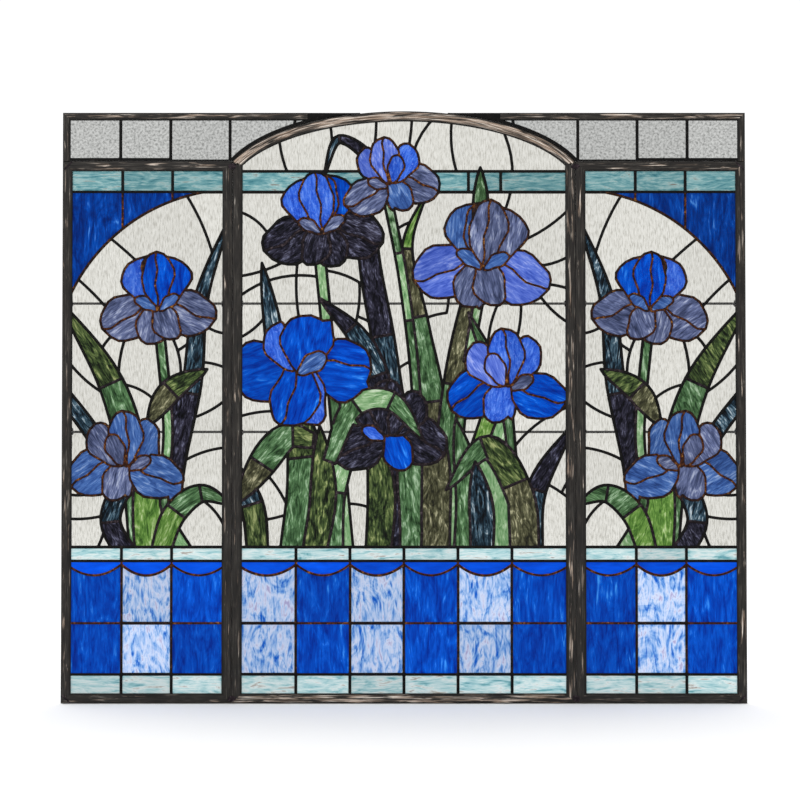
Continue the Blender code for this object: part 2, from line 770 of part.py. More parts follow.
# Centre frame, with mitres where the arch springs from the stiles
arch = arch_path()
springs = (arch[1] - arch[0]).normalized()
lands = (arch[-1] - arch[-2]).normalized()
came("centre_left_stile", [(-HALF_CENTRE, 0.0), (-HALF_CENTRE, WING_HEIGHT)], CAME_WIDTH, LEFT, springs)
came("centre_arch", arch, CAME_WIDTH, UP, DOWN)
came("centre_right_stile", [(HALF_CENTRE, WING_HEIGHT), (HALF_CENTRE, 0.0)], CAME_WIDTH, lands, LEFT)
came("centre_sill", [(HALF_CENTRE, 0.0), (-HALF_CENTRE, 0.0)], CAME_WIDTH, DOWN, UP)

# Corner frames: no came where a corner light stands on the wing and on the arch
CORNER_GLASS_TOP = TOP - THIN_CAME_WIDTH
TOP_CAME_END = arch_reach(CORNER_GLASS_TOP - TOP_CAME_CLEAR)
corner_foot = (-OUTER_EDGE, WING_HEIGHT + GAP / 2)
two_cames("corner_side", [corner_foot, (-OUTER_EDGE, TOP)], THIN_CAME_WIDTH, UP, RIGHT)
two_cames("corner_top", [(-OUTER_EDGE, TOP), (-TOP_CAME_END, TOP)], THIN_CAME_WIDTH, UP, RIGHT)

# Solder wedges that fill between the top cames and the arch
WEDGE_START = TOP_CAME_END - GAP
WEDGE_END = arch_reach(TOP - WEDGE_TIP)
wedge = []
for i in range(5):
    x = WEDGE_START + (WEDGE_END - WEDGE_START) * i / 4
    wedge.append((-x, arch_height(x) + 1.5 * GAP))
wedge += [(-WEDGE_END, TOP), (-WEDGE_START, TOP)]
plate("left_corner_wedge", wedge, WEDGE_HALF_DEPTH, "solder_line")
plate("right_corner_wedge", mirrored(wedge), WEDGE_HALF_DEPTH, "solder_line")

# Glass of the wings. A sheet's edge is half a seam from its neighbour or a bite into a came
HALF_SEAM = SEAM / 2
WING_LEFT = -OUTER_EDGE + CAME_WIDTH
SHEET_LEFT = WING_LEFT - GLASS_BITE
SHEET_RIGHT = WING_LEFT + WING_GLASS + GLASS_BITE
WING_STEP = WING_GLASS / WING_COLUMNS
two_sheets("wing_bottom_strip",
           block(SHEET_LEFT, SHEET_RIGHT, GLASS_FOOT - GLASS_BITE, CHECK_FOOT - HALF_SEAM), "aqua_glass")
for k in range(WING_COLUMNS):
    x0 = WING_LEFT + k * WING_STEP + HALF_SEAM if k else SHEET_LEFT
    x1 = WING_LEFT + (k + 1) * WING_STEP - HALF_SEAM if k < WING_COLUMNS - 1 else SHEET_RIGHT
    glass = "white_glass" if k % 2 else "cobalt_glass"
    two_sheets("wing_skirt_%d" % (k + 1), block(x0, x1, CHECK_FOOT + HALF_SEAM, SKIRT_TOP - HALF_SEAM), glass)
two_sheets("wing_middle_strip",
           block(SHEET_LEFT, SHEET_RIGHT, SKIRT_TOP + HALF_SEAM, FIELD_FOOT - HALF_SEAM), "aqua_glass")
field_end = arc_meets(WING_ARC_RADIUS - HALF_SEAM, FIELD_TOP - HALF_SEAM)
under_arc = wing_arc(WING_ARC_RADIUS - HALF_SEAM, -GLASS_BITE, field_end, 12)
field = [(SHEET_LEFT, FIELD_FOOT + HALF_SEAM), (SHEET_RIGHT, FIELD_FOOT + HALF_SEAM)]
field.append((SHEET_RIGHT, FIELD_TOP - HALF_SEAM))
two_sheets("wing_field", field + [(WING_LEFT + x, z) for x, z in under_arc[::-1]], "clear_glass")
spandrel_end = arc_meets(WING_ARC_RADIUS + HALF_SEAM, FIELD_TOP - HALF_SEAM) - BORDER_LINE
over_arc = wing_arc(WING_ARC_RADIUS + HALF_SEAM, -GLASS_BITE, spandrel_end, 10)
spandrel = [(WING_LEFT + x, z) for x, z in over_arc + [(spandrel_end, FIELD_TOP - HALF_SEAM)]]
spandrel.append((SHEET_LEFT, FIELD_TOP - HALF_SEAM))
two_sheets("wing_spandrel", spandrel, "cobalt_glass")
two_sheets("wing_top_strip",
           block(SHEET_LEFT, SHEET_RIGHT, FIELD_TOP + HALF_SEAM, WING_GLASS_TOP + GLASS_BITE), "aqua_glass")

# Glass of the centre
CENTRE_STEP = CENTRE_GLASS / CENTRE_COLUMNS
reach = HALF_GLASS + GLASS_BITE
plate("centre_bottom_strip",
      block(-reach, reach, GLASS_FOOT - GLASS_BITE, CHECK_FOOT - HALF_SEAM), GLASS_THICKNESS / 2, "aqua_glass")
for k in range(CENTRE_COLUMNS):
    x0 = -HALF_GLASS + k * CENTRE_STEP + HALF_SEAM if k else -reach
    x1 = -HALF_GLASS + (k + 1) * CENTRE_STEP - HALF_SEAM if k < CENTRE_COLUMNS - 1 else reach
    glass = "cobalt_glass" if k % 2 else "white_glass"
    check = block(x0, x1, CHECK_FOOT + HALF_SEAM, SKIRT_TOP - HALF_SEAM)
    plate("centre_skirt_%d" % (k + 1), check, GLASS_THICKNESS / 2, glass)
plate("centre_middle_strip",
      block(-reach, reach, SKIRT_TOP + HALF_SEAM, FIELD_FOOT - HALF_SEAM), GLASS_THICKNESS / 2, "aqua_glass")
centre_field = [(x - HALF_GLASS, z) for x, z in under_arch(CAME_WIDTH - GLASS_BITE, FIELD_FOOT + HALF_SEAM)]
plate("centre_field", centre_field, GLASS_THICKNESS / 2, "clear_glass")

# Glass of the corner lights: it stands on the wing head and runs along the arch
CORNER_LEFT = -OUTER_EDGE + THIN_CAME_WIDTH
CORNER_FOOT = WING_HEIGHT + 2 * GAP
CORNER_END = TOP_CAME_END + 2 * GAP
corner_rise = []
for i in range(13):
    x = HALF_CENTRE + (CORNER_END - HALF_CENTRE) * i / 12
    corner_rise.append((-x, arch_height(x) + 2 * GAP))
in_channel = CORNER_GLASS_TOP + GLASS_BITE
corner_glass = [(CORNER_LEFT - GLASS_BITE, CORNER_FOOT), (-INNER_EDGE, CORNER_FOOT)] + corner_rise
corner_glass += [(-CORNER_END, in_channel), (CORNER_LEFT - GLASS_BITE, in_channel)]
two_sheets("corner_glass", corner_glass, "granite_glass")

# Soldered lines. The openings of the edge panes stop a border line inside the cames
INSIDE = BORDER_LINE - PICTURE_LINE / 2
wing_border = block(GAP, WING_GLASS - GAP, GLASS_FOOT + GAP, WING_GLASS_TOP - GAP)
wing_outline = block(INSIDE, WING_GLASS - INSIDE, GLASS_FOOT + INSIDE, WING_GLASS_TOP - INSIDE)
leading("left_wing_leading", wing_border, wing_outline, wing_shapes(), FIELD_TOP - TOP_STRIP,
        lambda x, z: (WING_LEFT + x, z))
leading("right_wing_leading", wing_border, wing_outline, wing_shapes(), FIELD_TOP - TOP_STRIP,
        lambda x, z: (-WING_LEFT - x, z))
centre_border = under_arch(CAME_WIDTH + GAP, GLASS_FOOT + GAP)
centre_outline = under_arch(CAME_WIDTH + INSIDE, GLASS_FOOT + INSIDE)
leading("centre_leading", centre_border, centre_outline, centre_shapes(), TOP, lambda x, z: (x - HALF_GLASS, z))

# Soldered lines of the corner lights, with full lines along the wing head and the arch
rise = [p for p in corner_rise if p[1] < CORNER_GLASS_TOP - BAND_LINE]
corner_border = [(CORNER_LEFT + GAP, CORNER_FOOT), (-INNER_EDGE, CORNER_FOOT)] + rise
corner_border += [(rise[-1][0], CORNER_GLASS_TOP - GAP), (CORNER_LEFT + GAP, CORNER_GLASS_TOP - GAP)]
lift = BAND_LINE / 2
corner_outline = [(CORNER_LEFT + INSIDE, CORNER_FOOT + lift), (-INNER_EDGE, CORNER_FOOT + lift)]
corner_outline += [(x - lift / 2, z + lift) for x, z in rise]
corner_outline.append((rise[-1][0] - lift / 2, CORNER_GLASS_TOP - INSIDE))
corner_outline.append((CORNER_LEFT + INSIDE, CORNER_GLASS_TOP - INSIDE))
joints = [-OUTER_EDGE + u * WING_WIDTH for u in CORNER_JOINTS]
corner_cuts = [[(x, WING_HEIGHT), (x, TOP)] for x in joints]
slant = -TOP_CAME_END - CORNER_SLANT
corner_cuts.append([(slant - OVER, WING_HEIGHT), (slant + OVER, TOP)])
leading("left_corner_leading", corner_border, corner_outline, ([], corner_cuts), 0.0, lambda x, z: (x, z))
leading("right_corner_leading", corner_border, corner_outline, ([], corner_cuts), 0.0, lambda x, z: (-x, z))

# Reinforcing bars across the backs of the lights, their ends on the cames
for place, level in (("lower", LOWER_BAR_HEIGHT), ("upper", UPPER_BAR_HEIGHT)):
    bar("left_wing_%s_bar" % place, WING_LEFT - BAR_LAP, WING_LEFT + WING_GLASS + BAR_LAP, level)
    bar("centre_%s_bar" % place, -HALF_GLASS - BAR_LAP, HALF_GLASS + BAR_LAP, level)
    bar("right_wing_%s_bar" % place, -WING_LEFT - WING_GLASS - BAR_LAP, -WING_LEFT + BAR_LAP, level)
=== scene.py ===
"""Looks of a three-light stained glass window panel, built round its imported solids.

Metres, Z up, front towards -Y. The panel's middle plane is at y = 0 and its foot at z = 0.
"""
import math
import random

import bmesh
import bpy
from mathutils import Matrix, Vector, noise
from mathutils.geometry import delaunay_2d_cdt


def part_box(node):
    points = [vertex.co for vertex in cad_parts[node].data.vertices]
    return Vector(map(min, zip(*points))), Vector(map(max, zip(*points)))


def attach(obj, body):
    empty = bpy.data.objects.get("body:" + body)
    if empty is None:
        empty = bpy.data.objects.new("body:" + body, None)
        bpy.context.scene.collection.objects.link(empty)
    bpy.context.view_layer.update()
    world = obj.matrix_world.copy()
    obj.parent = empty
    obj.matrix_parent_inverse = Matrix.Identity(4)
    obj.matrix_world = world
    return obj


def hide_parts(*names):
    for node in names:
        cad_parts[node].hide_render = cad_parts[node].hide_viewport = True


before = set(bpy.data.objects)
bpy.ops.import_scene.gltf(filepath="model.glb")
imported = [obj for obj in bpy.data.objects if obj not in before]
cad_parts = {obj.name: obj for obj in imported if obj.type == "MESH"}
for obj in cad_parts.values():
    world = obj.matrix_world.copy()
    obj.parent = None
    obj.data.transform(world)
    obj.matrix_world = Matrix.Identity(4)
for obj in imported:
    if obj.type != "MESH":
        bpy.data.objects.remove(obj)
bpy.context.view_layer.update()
bpy.ops.object.select_all(action="DESELECT")


# Border cames
# Half inch zinc came frames each light, and a narrower one the two corner lights. It has a flat outer edge,
# a crowned face and a channel for the glass, is mitred at its corners and blackened with patina that has
# worn to warm metal on the arch, the heads and the top.

WING_WIDTH = 0.216
CENTRE_WIDTH = 0.436
WING_HEIGHT = 0.688
ARCH_RISE = 0.064
ARCH_FULLNESS = 1.075
CAME_WIDTH = 0.0127
THIN_CAME_WIDTH = 0.0095
CAME_HALF_DEPTH = 0.0036
GLASS_HALF = 0.0015
GLASS_BITE = 0.005
GAP = 0.0003
TOP = 0.750
TOP_CAME_CLEAR = 0.0035
HALF_CENTRE = CENTRE_WIDTH / 2
INNER_EDGE = HALF_CENTRE + GAP
OUTER_EDGE = INNER_EDGE + WING_WIDTH

# The arch over the centre is part of an ellipse
ARCH_HALF = HALF_CENTRE * ARCH_FULLNESS
ARCH_DEPTH = ARCH_RISE / (1 - math.sqrt(1 - 1 / ARCH_FULLNESS**2))
ARCH_LEVEL = WING_HEIGHT + ARCH_RISE - ARCH_DEPTH
ARCH_STEPS = 72


def arch_height(x):
    """Height of the arch's outer edge at a distance from the middle."""
    return ARCH_LEVEL + ARCH_DEPTH * math.sqrt(max(1 - (x / ARCH_HALF)**2, 0.0))


def arch_reach(z):
    """How far from the middle the arch's outer edge is at a height."""
    return ARCH_HALF * math.sqrt(max(1 - ((z - ARCH_LEVEL) / ARCH_DEPTH)**2, 0.0))


def arch_path():
    points = []
    for i in range(ARCH_STEPS + 1):
        x = -HALF_CENTRE * math.cos(math.pi * i / ARCH_STEPS)
        points.append(Vector((x, arch_height(x))))
    return points


def mitres(path, before, after):
    """For each point of a path, the way to its parallel line one metre to the right."""
    ways = [Vector(before)] + [(b - a).normalized() for a, b in zip(path, path[1:])] + [Vector(after)]
    found = []
    for u, v in zip(ways, ways[1:]):
        nu = Vector((u.y, -u.x))
        nv = Vector((v.y, -v.x))
        found.append((nu + nv) / (1 + nu.dot(nv)))
    return found


def add(tree, kind, inputs=None, **settings):
    """A shader node with its settings, its values and what is plugged into it."""
    node = tree.nodes.new(kind)
    for key, value in settings.items():
        setattr(node, key, value)
    for key, value in (inputs or {}).items():
        if isinstance(value, bpy.types.NodeSocket):
            tree.links.new(value, node.inputs[key])
        else:
            node.inputs[key].default_value = value
    return node


def paint(code):
    """A linear colour from the six figures of a screen colour."""
    shares = [int(code[k:k + 2], 16) / 255 for k in (0, 2, 4)]
    return tuple(s / 12.92 if s <= 0.04045 else ((s + 0.055) / 1.055)**2.4 for s in shares) + (1.0,)


def ramp(tree, factor, *stops):
    """A colour ramp: each stop is a place and a colour."""
    node = add(tree, "ShaderNodeValToRGB", {"Fac": factor})
    while len(node.color_ramp.elements) < len(stops):
        node.color_ramp.elements.new(1.0)
    for element, (place, colour) in zip(node.color_ramp.elements, stops):
        element.position = place
        element.color = colour
    return node.outputs["Color"]


def grey(share):
    return (share, share, share, 1.0)


def blank_material(name):
    material = bpy.data.materials.new(name)
    material.use_nodes = True
    tree = material.node_tree
    return material, tree, tree.nodes["Principled BSDF"]


def stretched_noise(tree, coords, size, detail=4.0, warp=0.0, at=(0.0, 0.0, 0.0)):
    """Noise whose grains have a size in metres along each axis of the coordinates."""
    scale = tuple(1 / s for s in size)
    place = add(tree, "ShaderNodeMapping", {"Vector": coords, "Location": at, "Scale": scale})
    values = {"Vector": place.outputs["Vector"], "Scale": 1.0, "Detail": detail, "Roughness": 0.6}
    return add(tree, "ShaderNodeTexNoise", {**values, "Distortion": warp}).outputs["Fac"]


def mixed(tree, factor, a, b, how="MIX"):
    node = add(tree, "ShaderNodeMixRGB", {"Fac": factor, "Color1": a, "Color2": b}, blend_type=how)
    return node.outputs["Color"]


def set_finish(tree, shader, colour, height, relief, deep, values):
    """Gives a shader its colour, its bumps, strong as the relief and deep in metres, and its plain values."""
    bump = add(tree, "ShaderNodeBump", {"Height": height, "Strength": relief, "Distance": deep})
    tree.links.new(colour, shader.inputs["Base Color"])
    tree.links.new(bump.outputs["Normal"], shader.inputs["Normal"])
    for key, value in values.items():
        shader.inputs[key].default_value = value


def zinc_finish():
    """Blackened zinc: long rolling streaks, a brown bloom, warm bare metal where it has been rubbed, and
    painted shade with dark patina along the inner edge of its front face.
    """
    material, tree, shader = blank_material("blackened_zinc")
    run = add(tree, "ShaderNodeUVMap", uv_map="run").outputs["UV"]
    wear = add(tree, "ShaderNodeAttribute", attribute_name="wear").outputs["Fac"]
    streak = stretched_noise(tree, run, (0.0011, 0.055, 1.0), 5.0, 0.3)
    cloud = stretched_noise(tree, run, (0.006, 0.022, 1.0), 4.0, 0.6, (3.1, 0.4, 0.0))
    rub = stretched_noise(tree, run, (0.0032, 0.045, 1.0), 6.0, 0.5, (7.7, 2.2, 0.0))
    dark = ramp(tree, streak, (0.34, paint("090808")), (0.48, paint("1d1b1a")), (0.60, paint("32302c")),
                (0.70, paint("7a756e")))
    brown = ramp(tree, cloud, (0.35, paint("110f0d")), (0.55, paint("2b2622")), (0.72, paint("4e4a45")))
    base = mixed(tree, 0.38, dark, brown)
    lift = add(tree, "ShaderNodeMath", {0: rub, 1: wear}, operation="ADD").outputs[0]
    bare = ramp(tree, lift, (0.73, grey(0.0)), (0.86, grey(1.0)))
    metal = ramp(tree, streak, (0.36, paint("3f342c")), (0.50, paint("9c8776")), (0.64, paint("e8dfd4")))
    colour = mixed(tree, bare, base, metal)
    # On the front face a dark band along the inner edge, where the came meets the glass, is painted shade
    # together with dark patina in that corner.
    across = add(tree, "ShaderNodeSeparateXYZ", {0: run}).outputs[0]
    seam = ramp(tree, across, (0.0, grey(0.10)), (0.0007, grey(0.25)), (0.0018, grey(1.0)))
    colour = mixed(tree, 1.0, colour, seam, "MULTIPLY")
    rough = add(tree, "ShaderNodeMapRange", {"Value": cloud, "To Min": 0.34, "To Max": 0.62}).outputs[0]
    height = add(tree, "ShaderNodeMath", {0: streak, 1: rub}, operation="ADD").outputs[0]
    tree.links.new(rough, shader.inputs["Roughness"])
    set_finish(tree, shader, colour, height, 0.35, 0.0004, {"Metallic": 0.4, "Specular IOR Level": 0.3})
    return material


blackened_zinc = zinc_finish()


# The crown of a came, in shares of its width and of half its depth
CAME_CROWN = [
    (0.0, 0.64), (0.008, 0.74), (0.035, 0.84), (0.10, 0.92), (0.24, 0.97), (0.42, 0.995), (0.58, 0.995),
    (0.76, 0.97), (0.89, 0.91), (0.96, 0.83), (0.99, 0.74), (1.0, 0.64), (0.992, 0.56),
]
CHANNEL_LIP = 0.975
CHANNEL_PLAY = 0.0004
WORN_RIM = 0.0015
OTHER_FACE = 0.02


def came_section(width):
    """Outline of a came across its length: distance in from the outer edge, and depth."""
    back = [(s * width, y * CAME_HALF_DEPTH) for s, y in CAME_CROWN]
    slot = GLASS_HALF + CHANNEL_PLAY
    lip = CHANNEL_LIP * width
    floor = width - GLASS_BITE - 8 * GAP
    channel = [(lip, slot), (floor, slot), (floor, -slot), (lip, -slot)]
    return back + channel + [(s, -y) for s, y in back[::-1]]


def finished(name, bm, materials, nodes=(), smooth=30):
    """A piece of the object from its mesh, riding on the panel and standing for some nodes of the frame.
    Edges that turn by less than smooth degrees look round."""
    mesh = bpy.data.meshes.new(name)
    bm.to_mesh(mesh)
    bm.free()
    for material in materials:
        mesh.materials.append(material)
    piece = bpy.data.objects.new(name, mesh)
    bpy.context.scene.collection.objects.link(piece)
    piece.select_set(True)
    bpy.context.view_layer.objects.active = piece
    bpy.ops.object.shade_smooth_by_angle(angle=math.radians(smooth))
    piece.select_set(False)
    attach(piece, "root")
    if nodes:
        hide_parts(*nodes)


def came(node, path, width, before, after, wear):
    """A came whose outer edge follows a path, with the glass on its right as it runs. Before and after are
    the ways of the cames that it meets, and more wear bares more metal."""
    path = [Vector(q) for q in path]
    bm = bmesh.new()
    uv = bm.loops.layers.uv.new("run")
    layer = bm.verts.layers.float.new("wear")
    rings, lengths = [], []
    section = came_section(width)
    length = 0.0
    for i, (spot, mitre) in enumerate(zip(path, mitres(path, before, after))):
        if i:
            length += (path[i] - path[i - 1]).length
        lengths.append(length)
        ring = []
        for s, y in section:
            corner = spot + mitre * s
            ring.append(bm.verts.new((corner.x, y, corner.y)))
        rings.append(ring)
    count = len(section)
    offset = random.Random(node).uniform(0.0, 5.0)
    for i, (a, b) in enumerate(zip(rings, rings[1:])):
        for k in range(count):
            n = (k + 1) % count
            face = bm.faces.new((a[k], a[n], b[n], b[k]))
            shares = (section[k][0], section[n][0], section[n][0], section[k][0])
            runs = (lengths[i], lengths[i], lengths[i + 1], lengths[i + 1])
            # The back face's measure across is set off by OTHER_FACE, so the painted shade at the inner edge
            # lies on the front face.
            side = OTHER_FACE if section[k][1] > 0 else 0.0
            for loop, s, v in zip(face.loops, shares, runs):
                loop[uv].uv = (width - s + side, v + offset)
    for ring, v in ((rings[0], 0.0), (rings[-1], length)):
        end = bm.faces.new(ring)
        for loop, (s, y) in zip(end.loops, section):
            loop[uv].uv = (width - s, v + offset)
    bmesh.ops.recalc_face_normals(bm, faces=bm.faces)
    for ring in rings:
        for vert, (s, _) in zip(ring, section):
            rim = max(0.0, 1 - min(s, width - s) / WORN_RIM)
            vert[layer] = wear - 0.5 * rim
    finished(node + "_came", bm, [blackened_zinc], [node])


def two_cames(node, path, width, before, after, wear):
    """A came on the left of the panel and its mirror on the right."""
    came("left_" + node, path, width, before, after, wear)
    mirror = [(-x, z) for x, z in path][::-1]
    came("right_" + node, mirror, width, (after[0], -after[1]), (before[0], -before[1]), wear)


UP, DOWN, LEFT, RIGHT = (0.0, 1.0), (0.0, -1.0), (-1.0, 0.0), (1.0, 0.0)
two_cames("wing_outer_stile", [(-OUTER_EDGE, 0.0), (-OUTER_EDGE, WING_HEIGHT)], CAME_WIDTH, LEFT, RIGHT, 0.16)
two_cames("wing_head", [(-OUTER_EDGE, WING_HEIGHT), (-INNER_EDGE, WING_HEIGHT)], CAME_WIDTH, UP, DOWN, 0.19)
two_cames("wing_inner_stile", [(-INNER_EDGE, WING_HEIGHT), (-INNER_EDGE, 0.0)], CAME_WIDTH, RIGHT, LEFT, 0.14)
two_cames("wing_sill", [(-INNER_EDGE, 0.0), (-OUTER_EDGE, 0.0)], CAME_WIDTH, DOWN, UP, 0.14)
arch = arch_path()
springs = (arch[1] - arch[0]).normalized()
lands = (arch[-1] - arch[-2]).normalized()
came("centre_left_stile", [(-HALF_CENTRE, 0.0), (-HALF_CENTRE, WING_HEIGHT)], CAME_WIDTH, LEFT, springs, 0.13)
came("centre_arch", arch, CAME_WIDTH, UP, DOWN, 0.31)
came("centre_right_stile", [(HALF_CENTRE, WING_HEIGHT), (HALF_CENTRE, 0.0)], CAME_WIDTH, lands, LEFT, 0.19)
came("centre_sill", [(HALF_CENTRE, 0.0), (-HALF_CENTRE, 0.0)], CAME_WIDTH, DOWN, UP, 0.27)
CORNER_GLASS_TOP = TOP - THIN_CAME_WIDTH
TOP_CAME_END = arch_reach(CORNER_GLASS_TOP - TOP_CAME_CLEAR)
corner_foot = (-OUTER_EDGE, WING_HEIGHT + GAP / 2)
two_cames("corner_side", [corner_foot, (-OUTER_EDGE, TOP)], THIN_CAME_WIDTH, UP, RIGHT, 0.14)
two_cames("corner_top", [(-OUTER_EDGE, TOP), (-TOP_CAME_END, TOP)], THIN_CAME_WIDTH, UP, RIGHT, 0.23)


# Solder at the joints of the cames
# The outer mitres are tacked with solder that spreads in a flat drop over the joint. Drops that bridge the
# stiles hold the lights to each other at the foot and under the heads, and twice more at the back. Wedges
# of solder fill the corners where the top cames run out on the arch.

DROP_SIZES = {
    "tie": (0.0105, 0.0010, 0.0075),
    "tack": (0.0024, 0.0010, 0.0155),
    "fixing": (0.0088, 0.0040, 0.0105),
}
RAGGED = 0.32
LUMPY = 0.10
FOOT_TIE = 0.0062
SPRING_TIE = 0.6815
BACK_TIES = ((0.23, "low"), (0.46, "high"))


def solder_finish():
    """Soldered copper foil: black patina, with copper and plum where the patina attribute says so."""
    material, tree, shader = blank_material("patinated_solder")
    at = add(tree, "ShaderNodeTexCoord").outputs["Object"]
    patina = add(tree, "ShaderNodeAttribute", attribute_name="patina").outputs["Color"]
    shares = add(tree, "ShaderNodeSeparateXYZ", {0: patina})
    cloud = stretched_noise(tree, at, (0.004, 0.004, 0.004), 4.0, 0.3)
    fine = stretched_noise(tree, at, (0.0012, 0.0012, 0.0012), 3.0, 0.0, (2.0, 1.0, 4.0))
    black = ramp(tree, cloud, (0.38, paint("040404")), (0.62, paint("0d0b0a")), (0.74, paint("2a2522")))
    copper = ramp(tree, cloud, (0.34, paint("120804")), (0.48, paint("341606")), (0.60, paint("5c300e")),
                  (0.72, paint("a8742e")))
    plum = ramp(tree, cloud, (0.34, paint("0e0a0d")), (0.55, paint("2a2026")), (0.74, paint("6a5c62")))
    colour = mixed(tree, shares.outputs[0], black, copper)
    colour = mixed(tree, shares.outputs[1], colour, plum)
    set_finish(tree, shader, colour, fine, 0.4, 0.0003,
               {"Metallic": 0.2, "Roughness": 0.45, "Specular IOR Level": 0.12})
    return material


patinated_solder = solder_finish()


def solder_drop(name, spot, kind, turn=0.0):
    """A flat drop of solder on a face of the panel, with a ragged rim."""
    size = DROP_SIZES[kind]
    bpy.ops.mesh.primitive_uv_sphere_add(segments=28, ring_count=14, radius=0.5)
    drop = bpy.context.active_object
    drop.name = name
    rng = random.Random(name)
    shift = Vector((rng.uniform(0, 50), rng.uniform(0, 50), rng.uniform(0, 50)))
    spin = Matrix.Rotation(turn, 4, "Y")
    for vert in drop.data.vertices:
        ragged = 1 + RAGGED * noise.noise(vert.co * 3.2 + shift)
        flat = Vector((vert.co.x * size[0] * ragged, vert.co.y * size[1], vert.co.z * size[2] * ragged))
        vert.co = Vector(spot) + spin @ flat
    patina = drop.data.attributes.new("patina", "FLOAT_VECTOR", "POINT")
    for cell in patina.data:
        cell.vector = (0.0, 0.8, 0.0)
    drop.data.materials.append(patinated_solder)
    bpy.ops.object.shade_smooth()
    drop.select_set(False)
    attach(drop, "root")


def joint_drops():
    """Ties between the lights and tacks on the outer mitres, on both faces."""
    depth = 0.96 * CAME_HALF_DEPTH
    half = CAME_WIDTH / 2
    mitre = 0.785
    for face, side in ((-depth, "front"), (depth, "back")):
        for sign, hand in ((-1, "left"), (1, "right")):
            seam = sign * (HALF_CENTRE + GAP / 2)
            levels = [(FOOT_TIE, "foot"), (SPRING_TIE, "spring")]
            if side == "back":
                levels += BACK_TIES
            for level, where in levels:
                solder_drop("%s_%s_%s_tie" % (hand, side, where), (seam, face, level), "tie", 0.1 * sign)
            corner = sign * (OUTER_EDGE - half)
            for z, where, slope in ((half, "foot", mitre), (WING_HEIGHT - half, "head", -mitre)):
                name = "%s_%s_outer_%s_drop" % (hand, side, where)
                solder_drop(name, (corner, face, z), "tack", slope * sign)


joint_drops()

WEDGE_LAP = 0.0014
WEDGE_START = TOP_CAME_END + WEDGE_LAP
WEDGE_END = arch_reach(TOP - 0.0009)
WEDGE_STEPS = 24
WEDGE_HALF_DEPTH = 0.0030
# A wedge from its foot to its top, in shares of its height and of half its depth
WEDGE_FACE = [(0.0, 0.55), (0.14, 0.86), (0.38, 1.0), (0.62, 1.0), (0.86, 0.86), (1.0, 0.55)]


def solder_wedge(hand, sign):
    """The fill between a top came and the arch, rounded over on both faces."""
    bm = bmesh.new()
    rings = []
    for i in range(WEDGE_STEPS + 1):
        x = WEDGE_START + (WEDGE_END - WEDGE_START) * i / WEDGE_STEPS
        low = arch_height(x) + 1.5 * GAP
        ring = []
        for way in (-1, 1):
            for share, depth in WEDGE_FACE[::-way]:
                lump = 1 + LUMPY * noise.noise(Vector((-x * 160, way * 3.0, share * 2)))
                y = way * depth * WEDGE_HALF_DEPTH * lump
                ring.append(bm.verts.new((x * sign, y, low + (TOP - low) * share)))
        rings.append(ring)
    count = len(rings[0])
    for a, b in zip(rings, rings[1:]):
        for k in range(count):
            bm.faces.new((a[k], a[(k + 1) % count], b[(k + 1) % count], b[k]))
    bm.faces.new(rings[0])
    bm.faces.new(rings[-1])
    bmesh.ops.recalc_face_normals(bm, faces=bm.faces)
    finished(hand + "_corner_solder_wedge", bm, [patinated_solder],
             [hand + "_corner_wedge"], 40)


solder_wedge("left", -1)
solder_wedge("right", 1)


# The drawing of the leaded pictures
# Irises over their leaves, drawn in the plane of the glass as outlines laid one over another. Where two
# outlines meet, the glass is cut, and lines across the clear ground cut it into pieces that a glazier can
# handle. Angles are in radians, and z is a drawing's second measure.

PETAL_STEPS = 11
SPINE_STEPS = 9
UPRIGHT = math.pi / 2


def curve(p0, p1, p2, p3, steps):
    """Points of a cubic curve, without its last point."""
    points = []
    for i in range(steps):
        t = i / steps
        s = 1 - t
        a, b, c, d = s**3, 3 * s * s * t, 3 * s * t * t, t**3
        points.append(a * p0 + b * p1 + c * p2 + d * p3)
    return points


def bow(a, b, bulge, steps=10):
    """An open line from a to b that stands off its chord by a share of its length."""
    points = []
    for i in range(steps + 1):
        t = i / steps
        off = 4 * t * (1 - t) * bulge
        points.append((a[0] + (b[0] - a[0]) * t - (b[1] - a[1]) * off,
                       a[1] + (b[1] - a[1]) * t + (b[0] - a[0]) * off))
    return points


def through(points):
    """A smooth line through points."""
    p = [Vector(q) for q in points]
    p = [2 * p[0] - p[1]] + p + [2 * p[-1] - p[-2]]
    line = []
    for a, b, c, d in zip(p, p[1:], p[2:], p[3:]):
        for k in range(SPINE_STEPS):
            t = k / SPINE_STEPS
            line.append(0.5 * (2 * b + (c - a) * t + (2 * a - 5 * b + 4 * c - d) * t * t
                               + (3 * b - a - 3 * c + d) * t**3))
    line.append(p[-2])
    return line


def block(x0, x1, z0, z1):
    return [(x0, z0), (x1, z0), (x1, z1), (x0, z1)]


def petal(base, tip, left, right, rib=None, ruffle=0.026):
    """A petal from its base to its tip, with a bulge on each side as a share of its length, and its grain.
    A petal with a rib is two pieces of glass."""
    base, tip = Vector(base), Vector(tip)
    along = tip - base
    across = Vector((-along.y, along.x))

    def side(bulge, phase):
        low = base + along * 0.12 + across * bulge * 0.7
        high = base + along * 0.9 + across * bulge * 1.5
        line = curve(base, low, high, tip, PETAL_STEPS) + [tip]
        for i in range(1, PETAL_STEPS):
            t = i / PETAL_STEPS
            line[i] = line[i] + across * ruffle * math.sin(phase + 15 * t) * math.sin(math.pi * t)
        return line

    up = side(left, 0.6)
    down = side(-right, 2.2)[::-1]
    grain = math.atan2(along.y, along.x)
    if rib is None:
        return [(up[:-1] + down[:-1], grain)]
    middle = side(rib, 1.4)
    return [(up[:-1] + middle[:0:-1], grain), (middle[:-1] + down[:-1], grain)]


